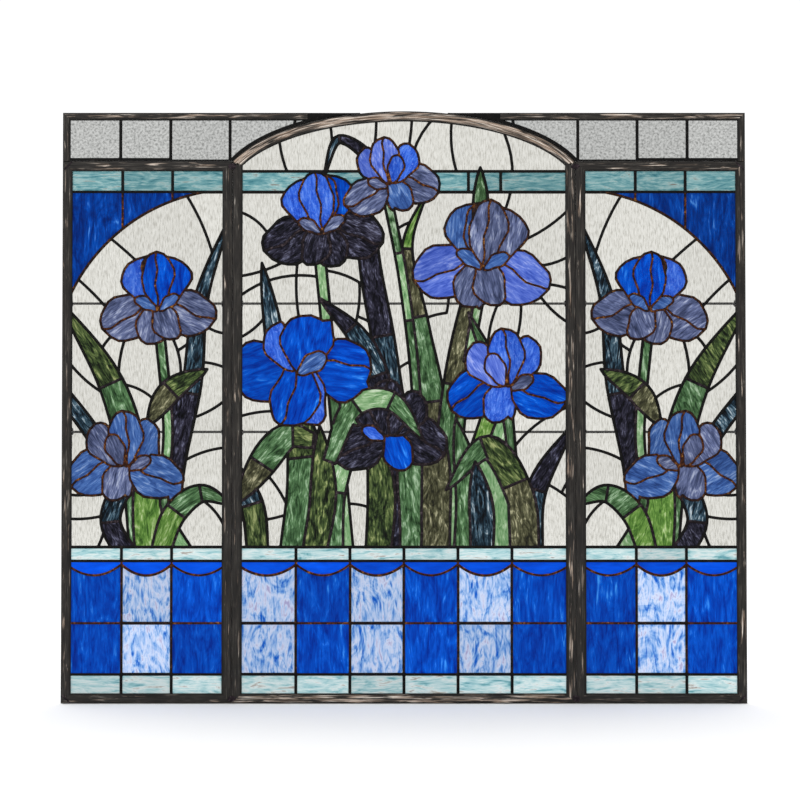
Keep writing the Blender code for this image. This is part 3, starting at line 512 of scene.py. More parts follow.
# Each bloom is a list of petals in shares of its width, from the back to the front: base, tip, bulges, the
# part of the flower that names its glass, and the bulge of its rib
CROWN = [
    ((.00, -.34), (.00, .08), .22, .22, "cup", None),
    ((-.02, .10), (-.50, -.17), .50, .34, "fall", .10),
    ((.02, .10), (.50, -.15), .30, .52, "fall", -.08),
    ((.00, .08), (-.12, -.33), .46, .34, "bib", None),
    ((.02, .08), (.15, -.30), .22, .46, "bib", None),
    ((-.03, -.02), (-.05, .44), .66, -.20, "inner", .30),
    ((.03, -.02), (.07, .43), -.20, .66, "standard", None),
    ((.00, -.03), (.02, .47), .30, .34, "standard", .02),
    ((-.01, -.05), (-.20, .07), .20, .34, "heart", None),
    ((.01, -.05), (.19, .07), .34, .20, "heart", None),
]
CUP = [
    ((.02, -.30), (.00, .10), .24, .24, "cup", None),
    ((.02, .10), (-.48, -.22), .52, .22, "fall", .16),
    ((.00, .10), (.50, -.14), .42, .40, "fall", .05),
    ((.02, .06), (.18, -.30), .34, .40, "bib", None),
    ((-.02, -.02), (-.24, .36), .46, .22, "standard", None),
    ((.02, -.02), (.22, .38), .26, .46, "inner", None),
    ((.00, -.03), (-.03, .46), .40, .30, "standard", .08),
    ((.03, -.02), (.10, .27), .30, .34, "inner", None),
    ((-.02, -.06), (-.22, .02), .30, .30, "heart", None),
]
FLAG = [
    ((.03, -.30), (.00, .10), .22, .22, "cup", None),
    ((-.02, .08), (-.50, -.08), .58, .46, "fall", None),
    ((.02, .06), (.52, .03), .46, .60, "fall", .06),
    ((.03, .10), (.16, -.40), .20, .46, "bib", None),
    ((-.02, .10), (-.12, -.42), .52, .26, "standard", .06),
    ((-.05, -.02), (-.17, .34), .52, .10, "inner", None),
    ((.01, -.04), (.05, .40), .52, .50, "standard", None),
    ((-.02, -.04), (.18, .12), .34, .30, "heart", None),
]


def flower(standard, inner, fall, bib, heart):
    """The glass of each part of a bloom."""
    return {"standard": standard, "inner": inner, "fall": fall, "bib": bib, "heart": heart, "cup": "teal"}


def bloom(design, heart, width, lean, glasses, flip=1):
    """The petals of a bloom with its heart at a point, leaning by some degrees, each with its glass."""
    turn = Matrix.Rotation(math.radians(lean), 2)
    shapes = []
    for base, tip, left, right, part, rib in design:
        for loop, grain in petal(base, tip, left, right, rib):
            placed = []
            for p in loop:
                q = Vector(heart) + turn @ Vector((p[0] * flip * width, p[1] * width))
                placed.append((q.x, q.y))
            if flip < 0:
                grain = math.pi - grain
            shapes.append((placed, glasses[part], grain + math.radians(lean)))
    return shapes


def strap(line, widths, glasses, joints):
    """A band along a line, as wide at each point as the list says, cut across at its joints."""
    left, right = [], []
    for i, (p, w) in enumerate(zip(line, widths)):
        way = (line[min(i + 1, len(line) - 1)] - line[max(i - 1, 0)]).normalized()
        side = Vector((-way.y, way.x)) * w / 2
        left.append(p + side)
        right.append(p - side)
    marks = [0] + [round(j * (len(line) - 1)) for j in joints] + [len(line) - 1]
    shapes = []
    for k, (a, b) in enumerate(zip(marks, marks[1:])):
        loop = right[a:b + 1] + left[a:b + 1][::-1]
        loop = [(p.x, p.y) for i, p in enumerate(loop) if (p - loop[i - 1]).length > 1e-4]
        way = line[b] - line[a]
        shapes.append((loop, glasses[k % len(glasses)], math.atan2(way.y, way.x)))
    return shapes


def blade(spine, width, glasses, joints=(), root=0.9, waist=0.45):
    """A leaf, widest at its waist and pointed at its end."""
    line = through(spine)
    run = [0.0]
    for a, b in zip(line, line[1:]):
        run.append(run[-1] + (b - a).length)
    widths = []
    for r in run:
        k = r / run[-1]
        if k < waist:
            share = root + (1 - root) * math.sin(math.pi / 2 * k / waist)
        else:
            share = max(0.0, math.cos(math.pi / 2 * (k - waist) / (1 - waist)))**0.8
        widths.append(share * width)
    return strap(line, widths, glasses, joints)


def stem(spine, width, glasses, joints):
    """A flower's stalk, even in width."""
    line = through(spine)
    return strap(line, [width] * len(line), glasses, joints)


def shares_of(w, h):
    """A way to write points as shares of a field's width and height."""
    return lambda *pairs: [(u * w, v * h) for u, v in pairs]


def wing_picture(w, h):
    """Two blooms with their leaves, for a field w wide and h high, and the lines of its ground."""
    run = shares_of(w, h)
    shapes = []
    shapes += blade(run((.66, -.03), (.68, .20), (.80, .46), (.86, .70), (1.05, .93)), .125 * w,
                    ["teal", "ink", "teal", "teal"], (.22, .47, .66), 1.0)
    shapes += blade(run((.46, -.03), (.42, .22), (.26, .46), (-.08, .69)), .19 * w,
                    ["leaf", "leaf", "moss"], (.36, .66), .7)
    shapes += stem(run((.80, -.03), (.62, .12), (.64, .34), (.57, .66)), .06 * w,
                   ["sage", "leaf", "sage", "leaf"], (.3, .52, .78))
    shapes += blade(run((.50, -.03), (.50, .16), (.52, .30), (.56, .42)), .18 * w,
                    ["lime", "leaf", "lime"], (.36, .68), .8, .3)
    shapes += blade(run((.50, .34), (.66, .44), (.90, .50)), .15 * w, ["olive", "moss"], (.5,), .1)
    shapes += blade(run((-.06, .43), (.12, .33), (.32, .20)), .10 * w, ["teal"])
    shapes += stem(run((.34, .18), (.26, .07), (.40, -.04)), .13 * w, ["teal", "ink"], (.5,))
    shapes += blade(run((.58, -.03), (.68, .09), (.86, .15), (1.06, .12)), .15 * w,
                    ["lime", "leaf", "leaf"], (.38, .66), .8)
    upper = flower("cobalt", "azure", "slate", "slate", "denim")
    lower = flower("denim", "slate", "denim", "slate", "slate")
    shapes += bloom(CROWN, (.57 * w, .68 * h), .76 * w, 4, upper)
    shapes += bloom(CUP, (.36 * w, .235 * h), .76 * w, 8, lower, -1)
    cuts = [
        ((-.04, .78), (.36, .60), .04), ((.06, .93), (.44, .80), .02), ((.34, 1.02), (.50, .82), .03),
        ((.55, 1.04), (.56, .84), -.14), ((.66, 1.05), (.96, .78), .06), ((.90, .82), (.64, .78), .10),
        ((-.04, .62), (.24, .56), .10), ((-.04, .53), (.26, .42), -.06), ((.20, .56), (.40, .62), .12),
        ((.36, .34), (.40, .64), .10), ((.30, .46), (.58, .40), .10), ((.62, .62), (.72, .46), .10),
        ((.84, .64), (1.04, .60), -.10), ((.84, .52), (1.04, .50), .06), ((.78, .36), (1.04, .42), -.06),
        ((.74, .24), (1.04, .28), .06), ((-.04, .15), (.18, .16), -.10), ((-.04, .08), (.30, .10), -.06),
        ((.12, -.04), (.24, .12), -.08), ((.84, .14), (1.04, .03), .10), ((.72, .14), (.90, .26), .06),
        ((.10, .40), (.30, .34), .05), ((.64, .54), (.84, .60), -.06),
    ]
    return shapes, [bow(*run(a, b), bulge) for a, b, bulge in cuts]


def centre_picture(w, h):
    """Six blooms over a clump of leaves, for a field w wide and h high, and the lines of its ground."""
    run = shares_of(w, h)
    bent = run((.47, -.03), (.49, .22), (.44, .56), (.39, .84), (.41, 1.06), (.30, 1.15), (.25, 1.04))
    green = ["sage", "leaf", "sage", "leaf"]
    shapes = []
    shapes += blade(bent, .07 * w, ["ink", "teal"] * 3, (.2, .36, .5, .66, .84))
    shapes += blade(run((.56, -.03), (.60, .34), (.55, .62), (.51, .84), (.57, 1.0)), .062 * w,
                    ["olive", "leaf", "olive", "lime"], (.3, .52, .76))
    shapes += blade(run((.60, .10), (.66, .50), (.745, .86), (.735, 1.05)), .06 * w,
                    ["leaf", "olive", "leaf", "leaf"], (.28, .52, .74), .7)
    shapes += blade(run((.735, .84), (.738, .95), (.737, 1.07)), .05 * w, ["leaf"])
    shapes += stem(run((.54, -.03), (.54, .40), (.50, .74), (.45, .98)), .026 * w, green, (.3, .55, .78))
    shapes += stem(run((.33, -.03), (.28, .45), (.235, .86)), .032 * w, green, (.4, .7))
    shapes += stem(run((.64, -.03), (.68, .40), (.74, .74)), .028 * w, green, (.36, .68))
    shapes += stem(run((.86, -.03), (.84, .18), (.82, .40)), .028 * w, green, (.5,))
    shapes += blade(run((.12, .38), (.10, .58), (.06, .80)), .055 * w, ["teal"], (.5,), .8)
    shapes += blade(run((.48, .30), (.38, .56), (.24, .70)), .07 * w, ["ink", "teal", "ink"], (.36, .68))
    shapes += blade(run((.70, .20), (.78, .45), (.70, .66)), .05 * w, ["lime", "leaf"], (.5,))
    shapes += blade(run((.05, -.03), (.03, .12), (-.05, .26)), .07 * w, ["moss", "teal"], (.5,))
    shapes += blade(run((.90, -.03), (.91, .16), (1.02, .34)), .06 * w, ["teal", "ink"], (.5,))
    shapes += blade(run((.17, -.03), (.20, .20), (.16, .44)), .12 * w, ["leaf", "moss"], (.62,))
    shapes += blade(run((.27, -.03), (.28, .18), (.38, .40), (.56, .34)), .09 * w,
                    ["leaf", "sage", "leaf", "leaf"], (.3, .55, .8))
    shapes += blade(run((.22, -.03), (.25, .14), (.24, .34)), .08 * w, ["moss"])
    shapes += blade(run((.22, .30), (.12, .30), (-.02, .12)), .09 * w,
                    ["moss", "leaf", "olive"], (.36, .7), .5)
    shapes += blade(run((.42, -.03), (.43, .16), (.40, .34)), .085 * w, ["moss"])
    shapes += blade(run((.52, -.03), (.52, .12), (.49, .32)), .07 * w, ["leaf"])
    shapes += blade(run((.60, -.03), (.60, .14), (.62, .32)), .09 * w, ["olive"])
    shapes += blade(run((.69, -.03), (.70, .16), (.66, .36)), .08 * w, ["leaf"])
    shapes += blade(run((.79, -.03), (.78, .18), (.80, .38)), .085 * w, ["sage"])
    shapes += blade(run((.88, -.03), (.86, .14), (.76, .28), (.63, .16)), .085 * w,
                    ["olive", "moss", "leaf"], (.4, .7))
    shapes += blade(run((.74, -.03), (.74, .10), (.72, .24)), .075 * w, ["teal"])
    shapes += bloom(CUP, (.45 * w, .32 * h), .36 * w, -6, flower("ink", "ink", "ink", "cobalt", "azure"))
    shapes += blade(run((.27, .24), (.34, .39), (.46, .41), (.56, .30)), .066 * w,
                    ["leaf", "sage", "leaf"], (.36, .68), .6, .5)
    shapes += bloom(FLAG, (.18 * w, .50 * h), .42 * w, -4,
                    flower("cobalt", "azure", "cobalt", "azure", "denim"))
    shapes += bloom(CUP, (.82 * w, .46 * h), .37 * w, 10,
                    flower("azure", "violet", "cobalt", "azure", "slate"), -1)
    shapes += bloom(CROWN, (.745 * w, .80 * h), .42 * w, -5,
                    flower("slate", "denim", "violet", "slate", "denim"))
    shapes += bloom(CROWN, (.245 * w, .90 * h), .37 * w, 5,
                    flower("azure", "cobalt", "ink", "ink", "slate"), -1)
    shapes += bloom(CUP, (.455 * w, 1.03 * h), .30 * w, 3,
                    flower("violet", "azure", "slate", "denim", "slate"))
    cuts = [
        ((-.03, .95), (.10, .84), .14), ((-.03, .76), (.16, .82), -.06), ((.05, .80), (.14, .60), .04),
        ((-.03, .69), (.24, .76), .12), ((.17, .80), (.18, .62), -.04), ((.12, 1.25), (.17, 1.00), -.10),
        ((.24, 1.28), (.27, 1.06), .08), ((.40, 1.34), (.41, 1.14), .04), ((.52, 1.34), (.51, 1.10), .04),
        ((.66, 1.26), (.52, .98), -.16), ((.66, 1.26), (.70, .98), -.10), ((.78, 1.22), (.80, .92), .14),
        ((1.03, .97), (.86, .86), .06), ((1.03, .83), (.84, .80), .12), ((1.03, .72), (.90, .74), -.06),
        ((1.03, .62), (.90, .74), .08), ((.86, .72), (.84, .56), .06), ((.80, .70), (.76, .56), -.06),
        ((.64, .72), (.60, .58), .06), ((.52, .78), (.62, .84), .10), ((.24, .78), (.42, .70), .10),
        ((.34, .86), (.42, .78), .08), ((.28, .66), (.46, .58), .12), ((.36, .76), (.34, .60), .06),
        ((.52, .62), (.66, .66), .08), ((.56, .50), (.70, .46), .10), ((.48, .50), (.60, .54), .08),
        ((.34, .44), (.46, .50), .06), ((-.03, .36), (.14, .38), .06), ((-.03, .08), (.16, .10), -.08),
        ((.08, .20), (.16, .06), .06), ((.30, .12), (.42, .10), .08), ((.30, .22), (.44, .26), .06),
        ((.30, .34), (.24, .42), .06), ((.88, .20), (1.03, .12), .06), ((.84, .28), (1.03, .40), .08),
        ((.94, .04), (1.03, .22), .04), ((.62, .44), (.76, .36), .08), ((.70, .38), (.80, .34), .06),
        ((.44, 1.14), (.30, 1.18), .06), ((.36, 1.02), (.46, .94), .10), ((.46, .88), (.54, .92), .08),
        ((.10, .28), (-.03, .22), .06), ((.08, .66), (-.03, .58), .08),
    ]
    return shapes, [bow(*run(a, b), bulge) for a, b, bulge in cuts]


# Bands round the pictures
# Under each picture a band of aqua glass, two rows of checks whose heads hang in swags, and aqua again at
# the foot; over each wing's half arch a blue spandrel and an aqua strip. Heights run from the foot of the
# panel, widths from the left edge of a light's glass.

GLASS_FOOT = CAME_WIDTH
CHECK_FOOT = GLASS_FOOT + 0.024
SKIRT_FOOT = CHECK_FOOT + 0.0645
SKIRT_TOP = SKIRT_FOOT + 0.0785
FIELD_FOOT = SKIRT_TOP + 0.0178
WING_GLASS_TOP = WING_HEIGHT - CAME_WIDTH
TOP_STRIP = 0.0265
FIELD_TOP = WING_GLASS_TOP - TOP_STRIP
FIELD_HEIGHT = FIELD_TOP - FIELD_FOOT
WING_GLASS = WING_WIDTH - 2 * CAME_WIDTH
CENTRE_GLASS = CENTRE_WIDTH - 2 * CAME_WIDTH
HALF_GLASS = CENTRE_GLASS / 2
SWAG_SAG = 0.014
SWAG_DROP = 0.004
WING_ARC_RADIUS = 0.233
WING_ARC_MIDDLE = WING_GLASS + 0.018
WING_ARC_LEVEL = FIELD_TOP + 0.004 - WING_ARC_RADIUS
OVER = 0.006


def columns(width, count):
    """The columns of a band, with the end ones carried past the cames."""
    step = width / count
    for k in range(count):
        x0 = k * step if k else -OVER
        x1 = (k + 1) * step if k < count - 1 else width + OVER
        yield x0, x1


def lower_bands(width, count, checks):
    """The aqua strips, the swags and the two rows of checks under a picture."""
    shapes = []
    for (x0, x1), check in zip(columns(width, count), checks):
        shapes.append((block(x0, x1, GLASS_FOOT - OVER, CHECK_FOOT), "aqua", 0.0))
        shapes.append((block(x0, x1, CHECK_FOOT, SKIRT_FOOT), check, UPRIGHT))
        shapes.append((block(x0, x1, SKIRT_FOOT, SKIRT_TOP), check, UPRIGHT))
        ends = SKIRT_TOP - SWAG_DROP
        swag = bow((x0, ends), (x1, ends), -SWAG_SAG / (x1 - x0), 24)
        shapes.append((swag + [(x1, SKIRT_TOP), (x0, SKIRT_TOP)], "swag", 0.0))
        shapes.append((block(x0, x1, SKIRT_TOP, FIELD_FOOT), "aqua", 0.0))
    return shapes


def wing_arc(x0, x1):
    """The arc over a wing's picture between two widths, left to right."""
    points = []
    for i in range(25):
        x = x0 + (x1 - x0) * i / 24
        rise = math.sqrt(max(WING_ARC_RADIUS**2 - (x - WING_ARC_MIDDLE)**2, 0.0))
        points.append((x, WING_ARC_LEVEL + rise))
    return points


def raised(picture):
    """A picture moved up from its own foot to the field's."""
    shapes, cuts = picture
    shapes = [([(x, z + FIELD_FOOT) for x, z in loop], glass, grain) for loop, glass, grain in shapes]
    return shapes, [[(x, z + FIELD_FOOT) for x, z in cut] for cut in cuts]


def wing_shapes():
    """All outlines of a wing, the last on top, and the lines of its ground."""
    shapes, cuts = raised(wing_picture(WING_GLASS, FIELD_HEIGHT))
    meets = WING_ARC_MIDDLE - math.sqrt(WING_ARC_RADIUS**2 - (FIELD_TOP - WING_ARC_LEVEL)**2)
    for x0, x1 in columns(WING_GLASS, 3):
        x1 = min(x1, meets)
        if x1 > x0:
            shapes.append((wing_arc(x0, x1) + [(x1, FIELD_TOP), (x0, FIELD_TOP)], "deep", UPRIGHT))
    for x0, x1 in columns(WING_GLASS, 3):
        shapes.append((block(x0, x1, FIELD_TOP, WING_GLASS_TOP + OVER), "sea", 0.0))
    return shapes + lower_bands(WING_GLASS, 3, ["cobalt", "white", "cobalt"]), cuts


def centre_shapes():
    """All outlines of the centre, where the blooms cross the top strip, and the lines of its ground."""
    ends = [-OVER] + [u * CENTRE_GLASS for u in (0.18, 0.60, 0.70, 0.80)] + [CENTRE_GLASS + OVER]
    strips = [(block(x0, x1, FIELD_TOP, FIELD_TOP + TOP_STRIP), "sea", 0.0) for x0, x1 in zip(ends, ends[1:])]
    shapes, cuts = raised(centre_picture(CENTRE_GLASS, FIELD_HEIGHT))
    return strips + shapes + lower_bands(CENTRE_GLASS, 6, ["white", "cobalt"] * 3), cuts


# Cutting the glass
# The drawing is parted into single panes, as a glazier cuts the paper pattern. Each pane keeps its glass and
# the run of its grain. A sliver that would show less light than the smallest, in square metres, joins the
# pane that it shares most edge with, one of its own glass first.

LINE_STEP = 0.0034
MERGE = 2e-5
SMALLEST_LIGHT = 1.5e-5
PICTURE_LINE = 0.0037
SAME_GLASS = 4


def area(loop):
    return 0.5 * sum(a[0] * b[1] - b[0] * a[1] for a, b in zip(loop, loop[1:] + loop[:1]))


def anticlockwise(loop):
    return loop if area(loop) > 0 else loop[::-1]


def turns_round(loop, x, z):
    """How many times a loop goes round a point."""
    count = 0
    for (x0, z0), (x1, z1) in zip(loop, loop[1:] + loop[:1]):
        side = (x1 - x0) * (z - z0) - (x - x0) * (z1 - z0)
        if z0 <= z < z1 and side > 0:
            count += 1
        elif z1 <= z < z0 and side < 0:
            count -= 1
    return count


def span(loop):
    xs = [p[0] for p in loop]
    zs = [p[1] for p in loop]
    return min(xs), max(xs), min(zs), max(zs)


def holds(loop, limits, point):
    x0, x1, z0, z1 = limits
    return x0 < point.x < x1 and z0 < point.y < z1 and turns_round(loop, point.x, point.y) != 0


def finely(points, closed=True):
    """The same line with no step longer than a few millimetres."""
    ends = points[1:] + points[:1] if closed else points[1:]
    line = []
    for a, b in zip(points, ends):
        parts = max(1, math.ceil(math.dist(a, b) / LINE_STEP))
        line += [(a[0] + (b[0] - a[0]) * k / parts, a[1] + (b[1] - a[1]) * k / parts) for k in range(parts)]
    return line if closed else line + [tuple(points[-1])]


def fill(open_lines, loops):
    """Triangles of everything that the lines and loops cross, the edges that came from open lines, and for
    each point the first of the given points that it comes from."""
    verts, edges = [], []
    for line in open_lines:
        first = len(verts)
        verts += [Vector(p) for p in line]
        edges += [(k, k + 1) for k in range(first, len(verts) - 1)]
    open_count = len(edges)
    for loop in loops:
        first = len(verts)
        verts += [Vector(p) for p in loop]
        edges += [(k, k + 1) for k in range(first, len(verts) - 1)] + [(len(verts) - 1, first)]
    verts, made, faces, origins, sources, _ = delaunay_2d_cdt(verts, edges, [], 0, MERGE)
    cut = {frozenset(e) for e, source in zip(made, sources) if any(i < open_count for i in source)}
    return verts, [tuple(f) for f in faces], cut, [min(o) if o else None for o in origins]


def middle_of(verts, face):
    return (verts[face[0]] + verts[face[1]] + verts[face[2]]) / 3


def edge_loops(triangles):
    """The boundary loops of a set of triangles, as lists of point numbers."""
    have = {(t[k - 1], t[k]) for t in triangles for k in range(3)}
    after = {}
    for a, b in sorted(have):
        if (b, a) not in have:
            after.setdefault(a, []).append(b)
    loops = []
    while after:
        here = min(after)
        loop = []
        while here in after:
            loop.append(here)
            step = after[here].pop()
            if not after[here]:
                del after[here]
            here = step
        loops.append(loop)
    return loops


def panes(outline, shapes, cuts):
    """The panes into which shapes and cuts part an outline: each a loop, its glass and its grain."""
    rings = [finely(outline)] + [finely(loop) for loop, _, _ in shapes]
    limits = [span(loop) for loop in rings]
    verts, faces, cut, _ = fill([finely(line, False) for line in cuts], rings)
    triangles, owner = [], []
    for face in faces:
        middle = middle_of(verts, face)
        if not holds(rings[0], limits[0], middle):
            continue
        number = len(shapes)
        while number and not holds(rings[number], limits[number], middle):
            number -= 1
        triangles.append(face)
        owner.append(number)

    group = list(range(len(triangles)))

    def root(i):
        while group[i] != i:
            group[i] = group[group[i]]
            i = group[i]
        return i

    def kind_of(number):
        return shapes[number - 1][1] if number else "clear"

    shared = {}
    for number, t in enumerate(triangles):
        for k in range(3):
            shared.setdefault(frozenset((t[k - 1], t[k])), []).append(number)
    borders = []
    for edge, pair in shared.items():
        if len(pair) < 2:
            continue
        parted = owner[pair[0]] == 0 and edge in cut
        if owner[pair[0]] == owner[pair[1]] and not parted:
            group[root(pair[0])] = root(pair[1])
        else:
            a, b = edge
            borders.append((pair[0], pair[1], (verts[a] - verts[b]).length))

    size = {}
    for i, t in enumerate(triangles):
        size[root(i)] = size.get(root(i), 0.0) + abs(area([tuple(verts[k]) for k in t]))
    tried = set()
    while True:
        rims = dict.fromkeys(size, 0.0)
        for a, b, length in borders:
            ra, rb = root(a), root(b)
            if ra != rb:
                rims[ra] += length
                rims[rb] += length
        light = {r: size[r] - rims[r] * PICTURE_LINE / 2 for r in size if r not in tried}
        least = min(light, key=lambda r: (light[r], r))
        if light[least] >= SMALLEST_LIGHT:
            break
        tried.add(least)
        reach = {}
        for a, b, length in borders:
            ra, rb = root(a), root(b)
            if ra != rb and least in (ra, rb):
                other = rb if ra == least else ra
                kin = kind_of(owner[other]) == kind_of(owner[least])
                reach[other] = reach.get(other, 0.0) + length * (SAME_GLASS if kin else 1)
        if reach:
            best = max(reach, key=lambda r: (reach[r], r))
            group[least] = best
            size[best] += size.pop(least)

    made = {}
    for i, t in enumerate(triangles):
        made.setdefault(root(i), []).append(t)
    found = []
    for r in sorted(made):
        loops = [[tuple(verts[k]) for k in loop] for loop in edge_loops(made[r])]
        glass, grain = ("clear", UPRIGHT) if owner[r] == 0 else shapes[owner[r] - 1][1:]
        found.append((max(loops, key=area), glass, grain))
    return found


def inset(loop, distance):
    """The clean loops at a distance inside a loop that runs anticlockwise."""
    p = [Vector(q) for q in loop]
    raw = []
    for i, b in enumerate(p):
        u = (b - p[i - 1]).normalized()
        v = (p[(i + 1) % len(p)] - b).normalized()
        nu = Vector((-u.y, u.x))
        nv = Vector((-v.y, v.x))
        turn = math.atan2(u.x * v.y - u.y * v.x, u.dot(v))
        if abs(turn) < math.radians(3):
            raw.append(b + (nu + nv) * distance / 2)
        elif turn > 0:
            raw += [b + nu * distance, b, b + nv * distance]
        elif turn < math.radians(-50):
            parts = 2 if turn > math.radians(-120) else 3
            for k in range(parts + 1):
                raw.append(b + Matrix.Rotation(turn * k / parts, 2) @ nu * distance)
        else:
            raw.append(b + (nu + nv) * distance / (1 + math.cos(turn)))
    track = [(q.x, q.y) for q in raw]
    verts, faces, _, _ = fill([], [track])
    inside = []
    for face in faces:
        middle = middle_of(verts, face)
        if turns_round(track, middle.x, middle.y) >= 1:
            inside.append(face)
    return [[(verts[k].x, verts[k].y) for k in found] for found in edge_loops(inside)]


def filleted(loop, cut=0.0009):
    """A loop whose corners are cut, as solder rounds the corners of an opening."""
    p = [Vector(q) for q in loop]
    made = []
    for i, b in enumerate(p):
        a, c = p[i - 1], p[(i + 1) % len(p)]
        u, v = (b - a), (c - b)
        turn = math.atan2(u.x * v.y - u.y * v.x, u.dot(v))
        if turn < math.radians(25):
            made.append(b)
            continue
        made.append(b - u * min(0.45, cut / max(u.length, 1e-9)))
        made.append(b + v * min(0.45, cut / max(v.length, 1e-9)))
    return [(q.x, q.y) for q in made]


# Soldered lines
# Each pane's edge is wrapped in copper foil, and a bead of solder runs along every seam on both faces. The
# patina is black over the ground, copper brown within the blooms and the blue checks, and plum among the
# leaves.

BAND_LINE = 0.0038
CHECK_LINE = 0.0029
PETAL_LINE = 0.0028
BEAD_HEIGHT = 0.00135
CHANNEL_HEIGHT = 0.00035
BEAD_PROFILE = ((0.45, 0.90), (0.80, 0.62))
SMALLEST_OPENING = 4e-6
NARROWEST = 0.0006
LUMPS = 0.16
CELL = 0.004
BLUES = {"cobalt", "deep", "azure", "denim", "slate", "violet", "swag"}
LEAVES = {"leaf", "lime", "sage", "moss", "olive", "teal", "ink"}


def patina_of(glasses):
    """Copper and plum shares of a bead between some glasses."""
    if glasses <= BLUES or glasses == {"swag", "white"}:
        return (0.9, 0.0, 0.0)
    if glasses <= BLUES | {"white"}:
        return (0.2, 0.0, 0.0)
    if glasses <= BLUES | {"clear"} and len(glasses) > 1:
        return (0.4, 0.0, 0.0)
    if glasses <= LEAVES:
        return (0.0, 0.6, 0.0)
    if glasses <= BLUES | LEAVES:
        return (0.35, 0.15, 0.0)
    return (0.0, 0.0, 0.0)


def wide_enough(hole):
    """Whether solder would leave a hole open, by its area against its rim."""
    rim = sum(math.dist(a, b) for a, b in zip(hole, hole[1:] + hole[:1]))
    return area(hole) > max(SMALLEST_OPENING, NARROWEST * rim)


def solder_lines(found, line_of, low_at):
    """Points, heights, patinas and triangles of the beads round a light's panes."""
    number, points, heights, patinas, triangles = {}, [], [], [], []
    beside = {}
    for loop, glass, _ in found:
        for p in loop:
            beside.setdefault((round(p[0], 6), round(p[1], 6)), set()).add(glass)
    for loop, glass, _ in found:
        width = line_of(loop, glass)
        openings = [filleted(hole) for hole in inset(loop, width / 2) if wide_enough(hole)]
        rings, shares = [loop], [1.0]
        for offset, share in BEAD_PROFILE:
            for ring in inset(loop, offset * width / 2):
                rings.append(ring)
                shares.append(share)
        rings += openings
        shares += [0.0] * len(openings)
        starts, total = [], 0
        for ring in rings:
            starts.append(total)
            total += len(ring)
        verts, faces, _, origins = fill([], rings)
        limits = span(loop)
        boxes = [span(hole) for hole in openings]
        names = {}
        for face in faces:
            middle = middle_of(verts, face)
            if not holds(loop, limits, middle):
                continue
            if any(holds(hole, box, middle) for hole, box in zip(openings, boxes)):
                continue
            for k in face:
                if k in names:
                    continue
                p = verts[k]
                key = (round(p.x, 6), round(p.y, 6))
                if origins[k] is None:
                    share = 0.5
                else:
                    share = shares[max(i for i, s in enumerate(starts) if s <= origins[k])]
                if key not in number:
                    number[key] = len(points)
                    points.append((p.x, p.y))
                    lump = 1 + LUMPS * noise.noise(Vector((p.x * 110, 0.0, p.y * 110)))
                    full = low_at(p.x, p.y) if share == 1.0 else BEAD_HEIGHT
                    heights.append(share * full * lump)
                    patinas.append(patina_of(beside.get(key, {glass})) if share == 1.0 else None)
                names[k] = number[key]
            corners = tuple(names[k] for k in face)
            if len(set(corners)) == 3:
                triangles.append(corners)
    seams = {}
    for i, colour in enumerate(patinas):
        if colour is not None:
            seams.setdefault((int(points[i][0] / CELL), int(points[i][1] / CELL)), []).append(i)
    for i, colour in enumerate(patinas):
        if colour is None:
            x, z = points[i]
            cx, cz = int(x / CELL), int(z / CELL)
            near = [k for dx in (-1, 0, 1) for dz in (-1, 0, 1) for k in seams.get((cx + dx, cz + dz), ())]
            if near:
                best = min(near, key=lambda k: (points[k][0] - x)**2 + (points[k][1] - z)**2)
                patinas[i] = patinas[best]
            else:
                patinas[i] = (0.0, 0.0, 0.0)
    return points, heights, patinas, triangles


def bead_piece(name, drawing, place, face, nodes=()):
    """The beads of a light on one face: face is -1 at the front and 1 at the back."""
    points, heights, patinas, triangles = drawing
    bm = bmesh.new()
    layer = bm.verts.layers.float_vector.new("patina")
    top, foot = [], []
    for (px, pz), height, patina in zip(points, heights, patinas):
        x, z = place(px, pz)
        high = bm.verts.new((x, face * (GLASS_HALF + height), z))
        high[layer] = patina
        low = high
        if height > 0:
            low = bm.verts.new((x, face * GLASS_HALF, z))
            low[layer] = patina
        top.append(high)
        foot.append(low)
    directed = set()
    for t in triangles:
        if all(heights[k] == 0 for k in t):
            continue
        bm.faces.new([top[k] for k in t])
        bm.faces.new([foot[k] for k in t[::-1]])
        directed |= {(t[k - 1], t[k]) for k in range(3)}
    for a, b in sorted(directed):
        if (b, a) in directed:
            continue
        wall = [top[a], top[b], foot[b], foot[a]]
        wall = [v for i, v in enumerate(wall) if v not in wall[:i]]
        if len(wall) > 2:
            bm.faces.new(wall)
    bmesh.ops.recalc_face_normals(bm, faces=bm.faces)
    finished(name, bm, [patinated_solder], nodes, 62)


# Sheets of glass
# Clear seedy glass with fine upright ripples for the ground, stippled glass for the corners, streaky and
# wispy opalescent glass for the rest. Each pane is cut with its grain along the petal or the leaf.

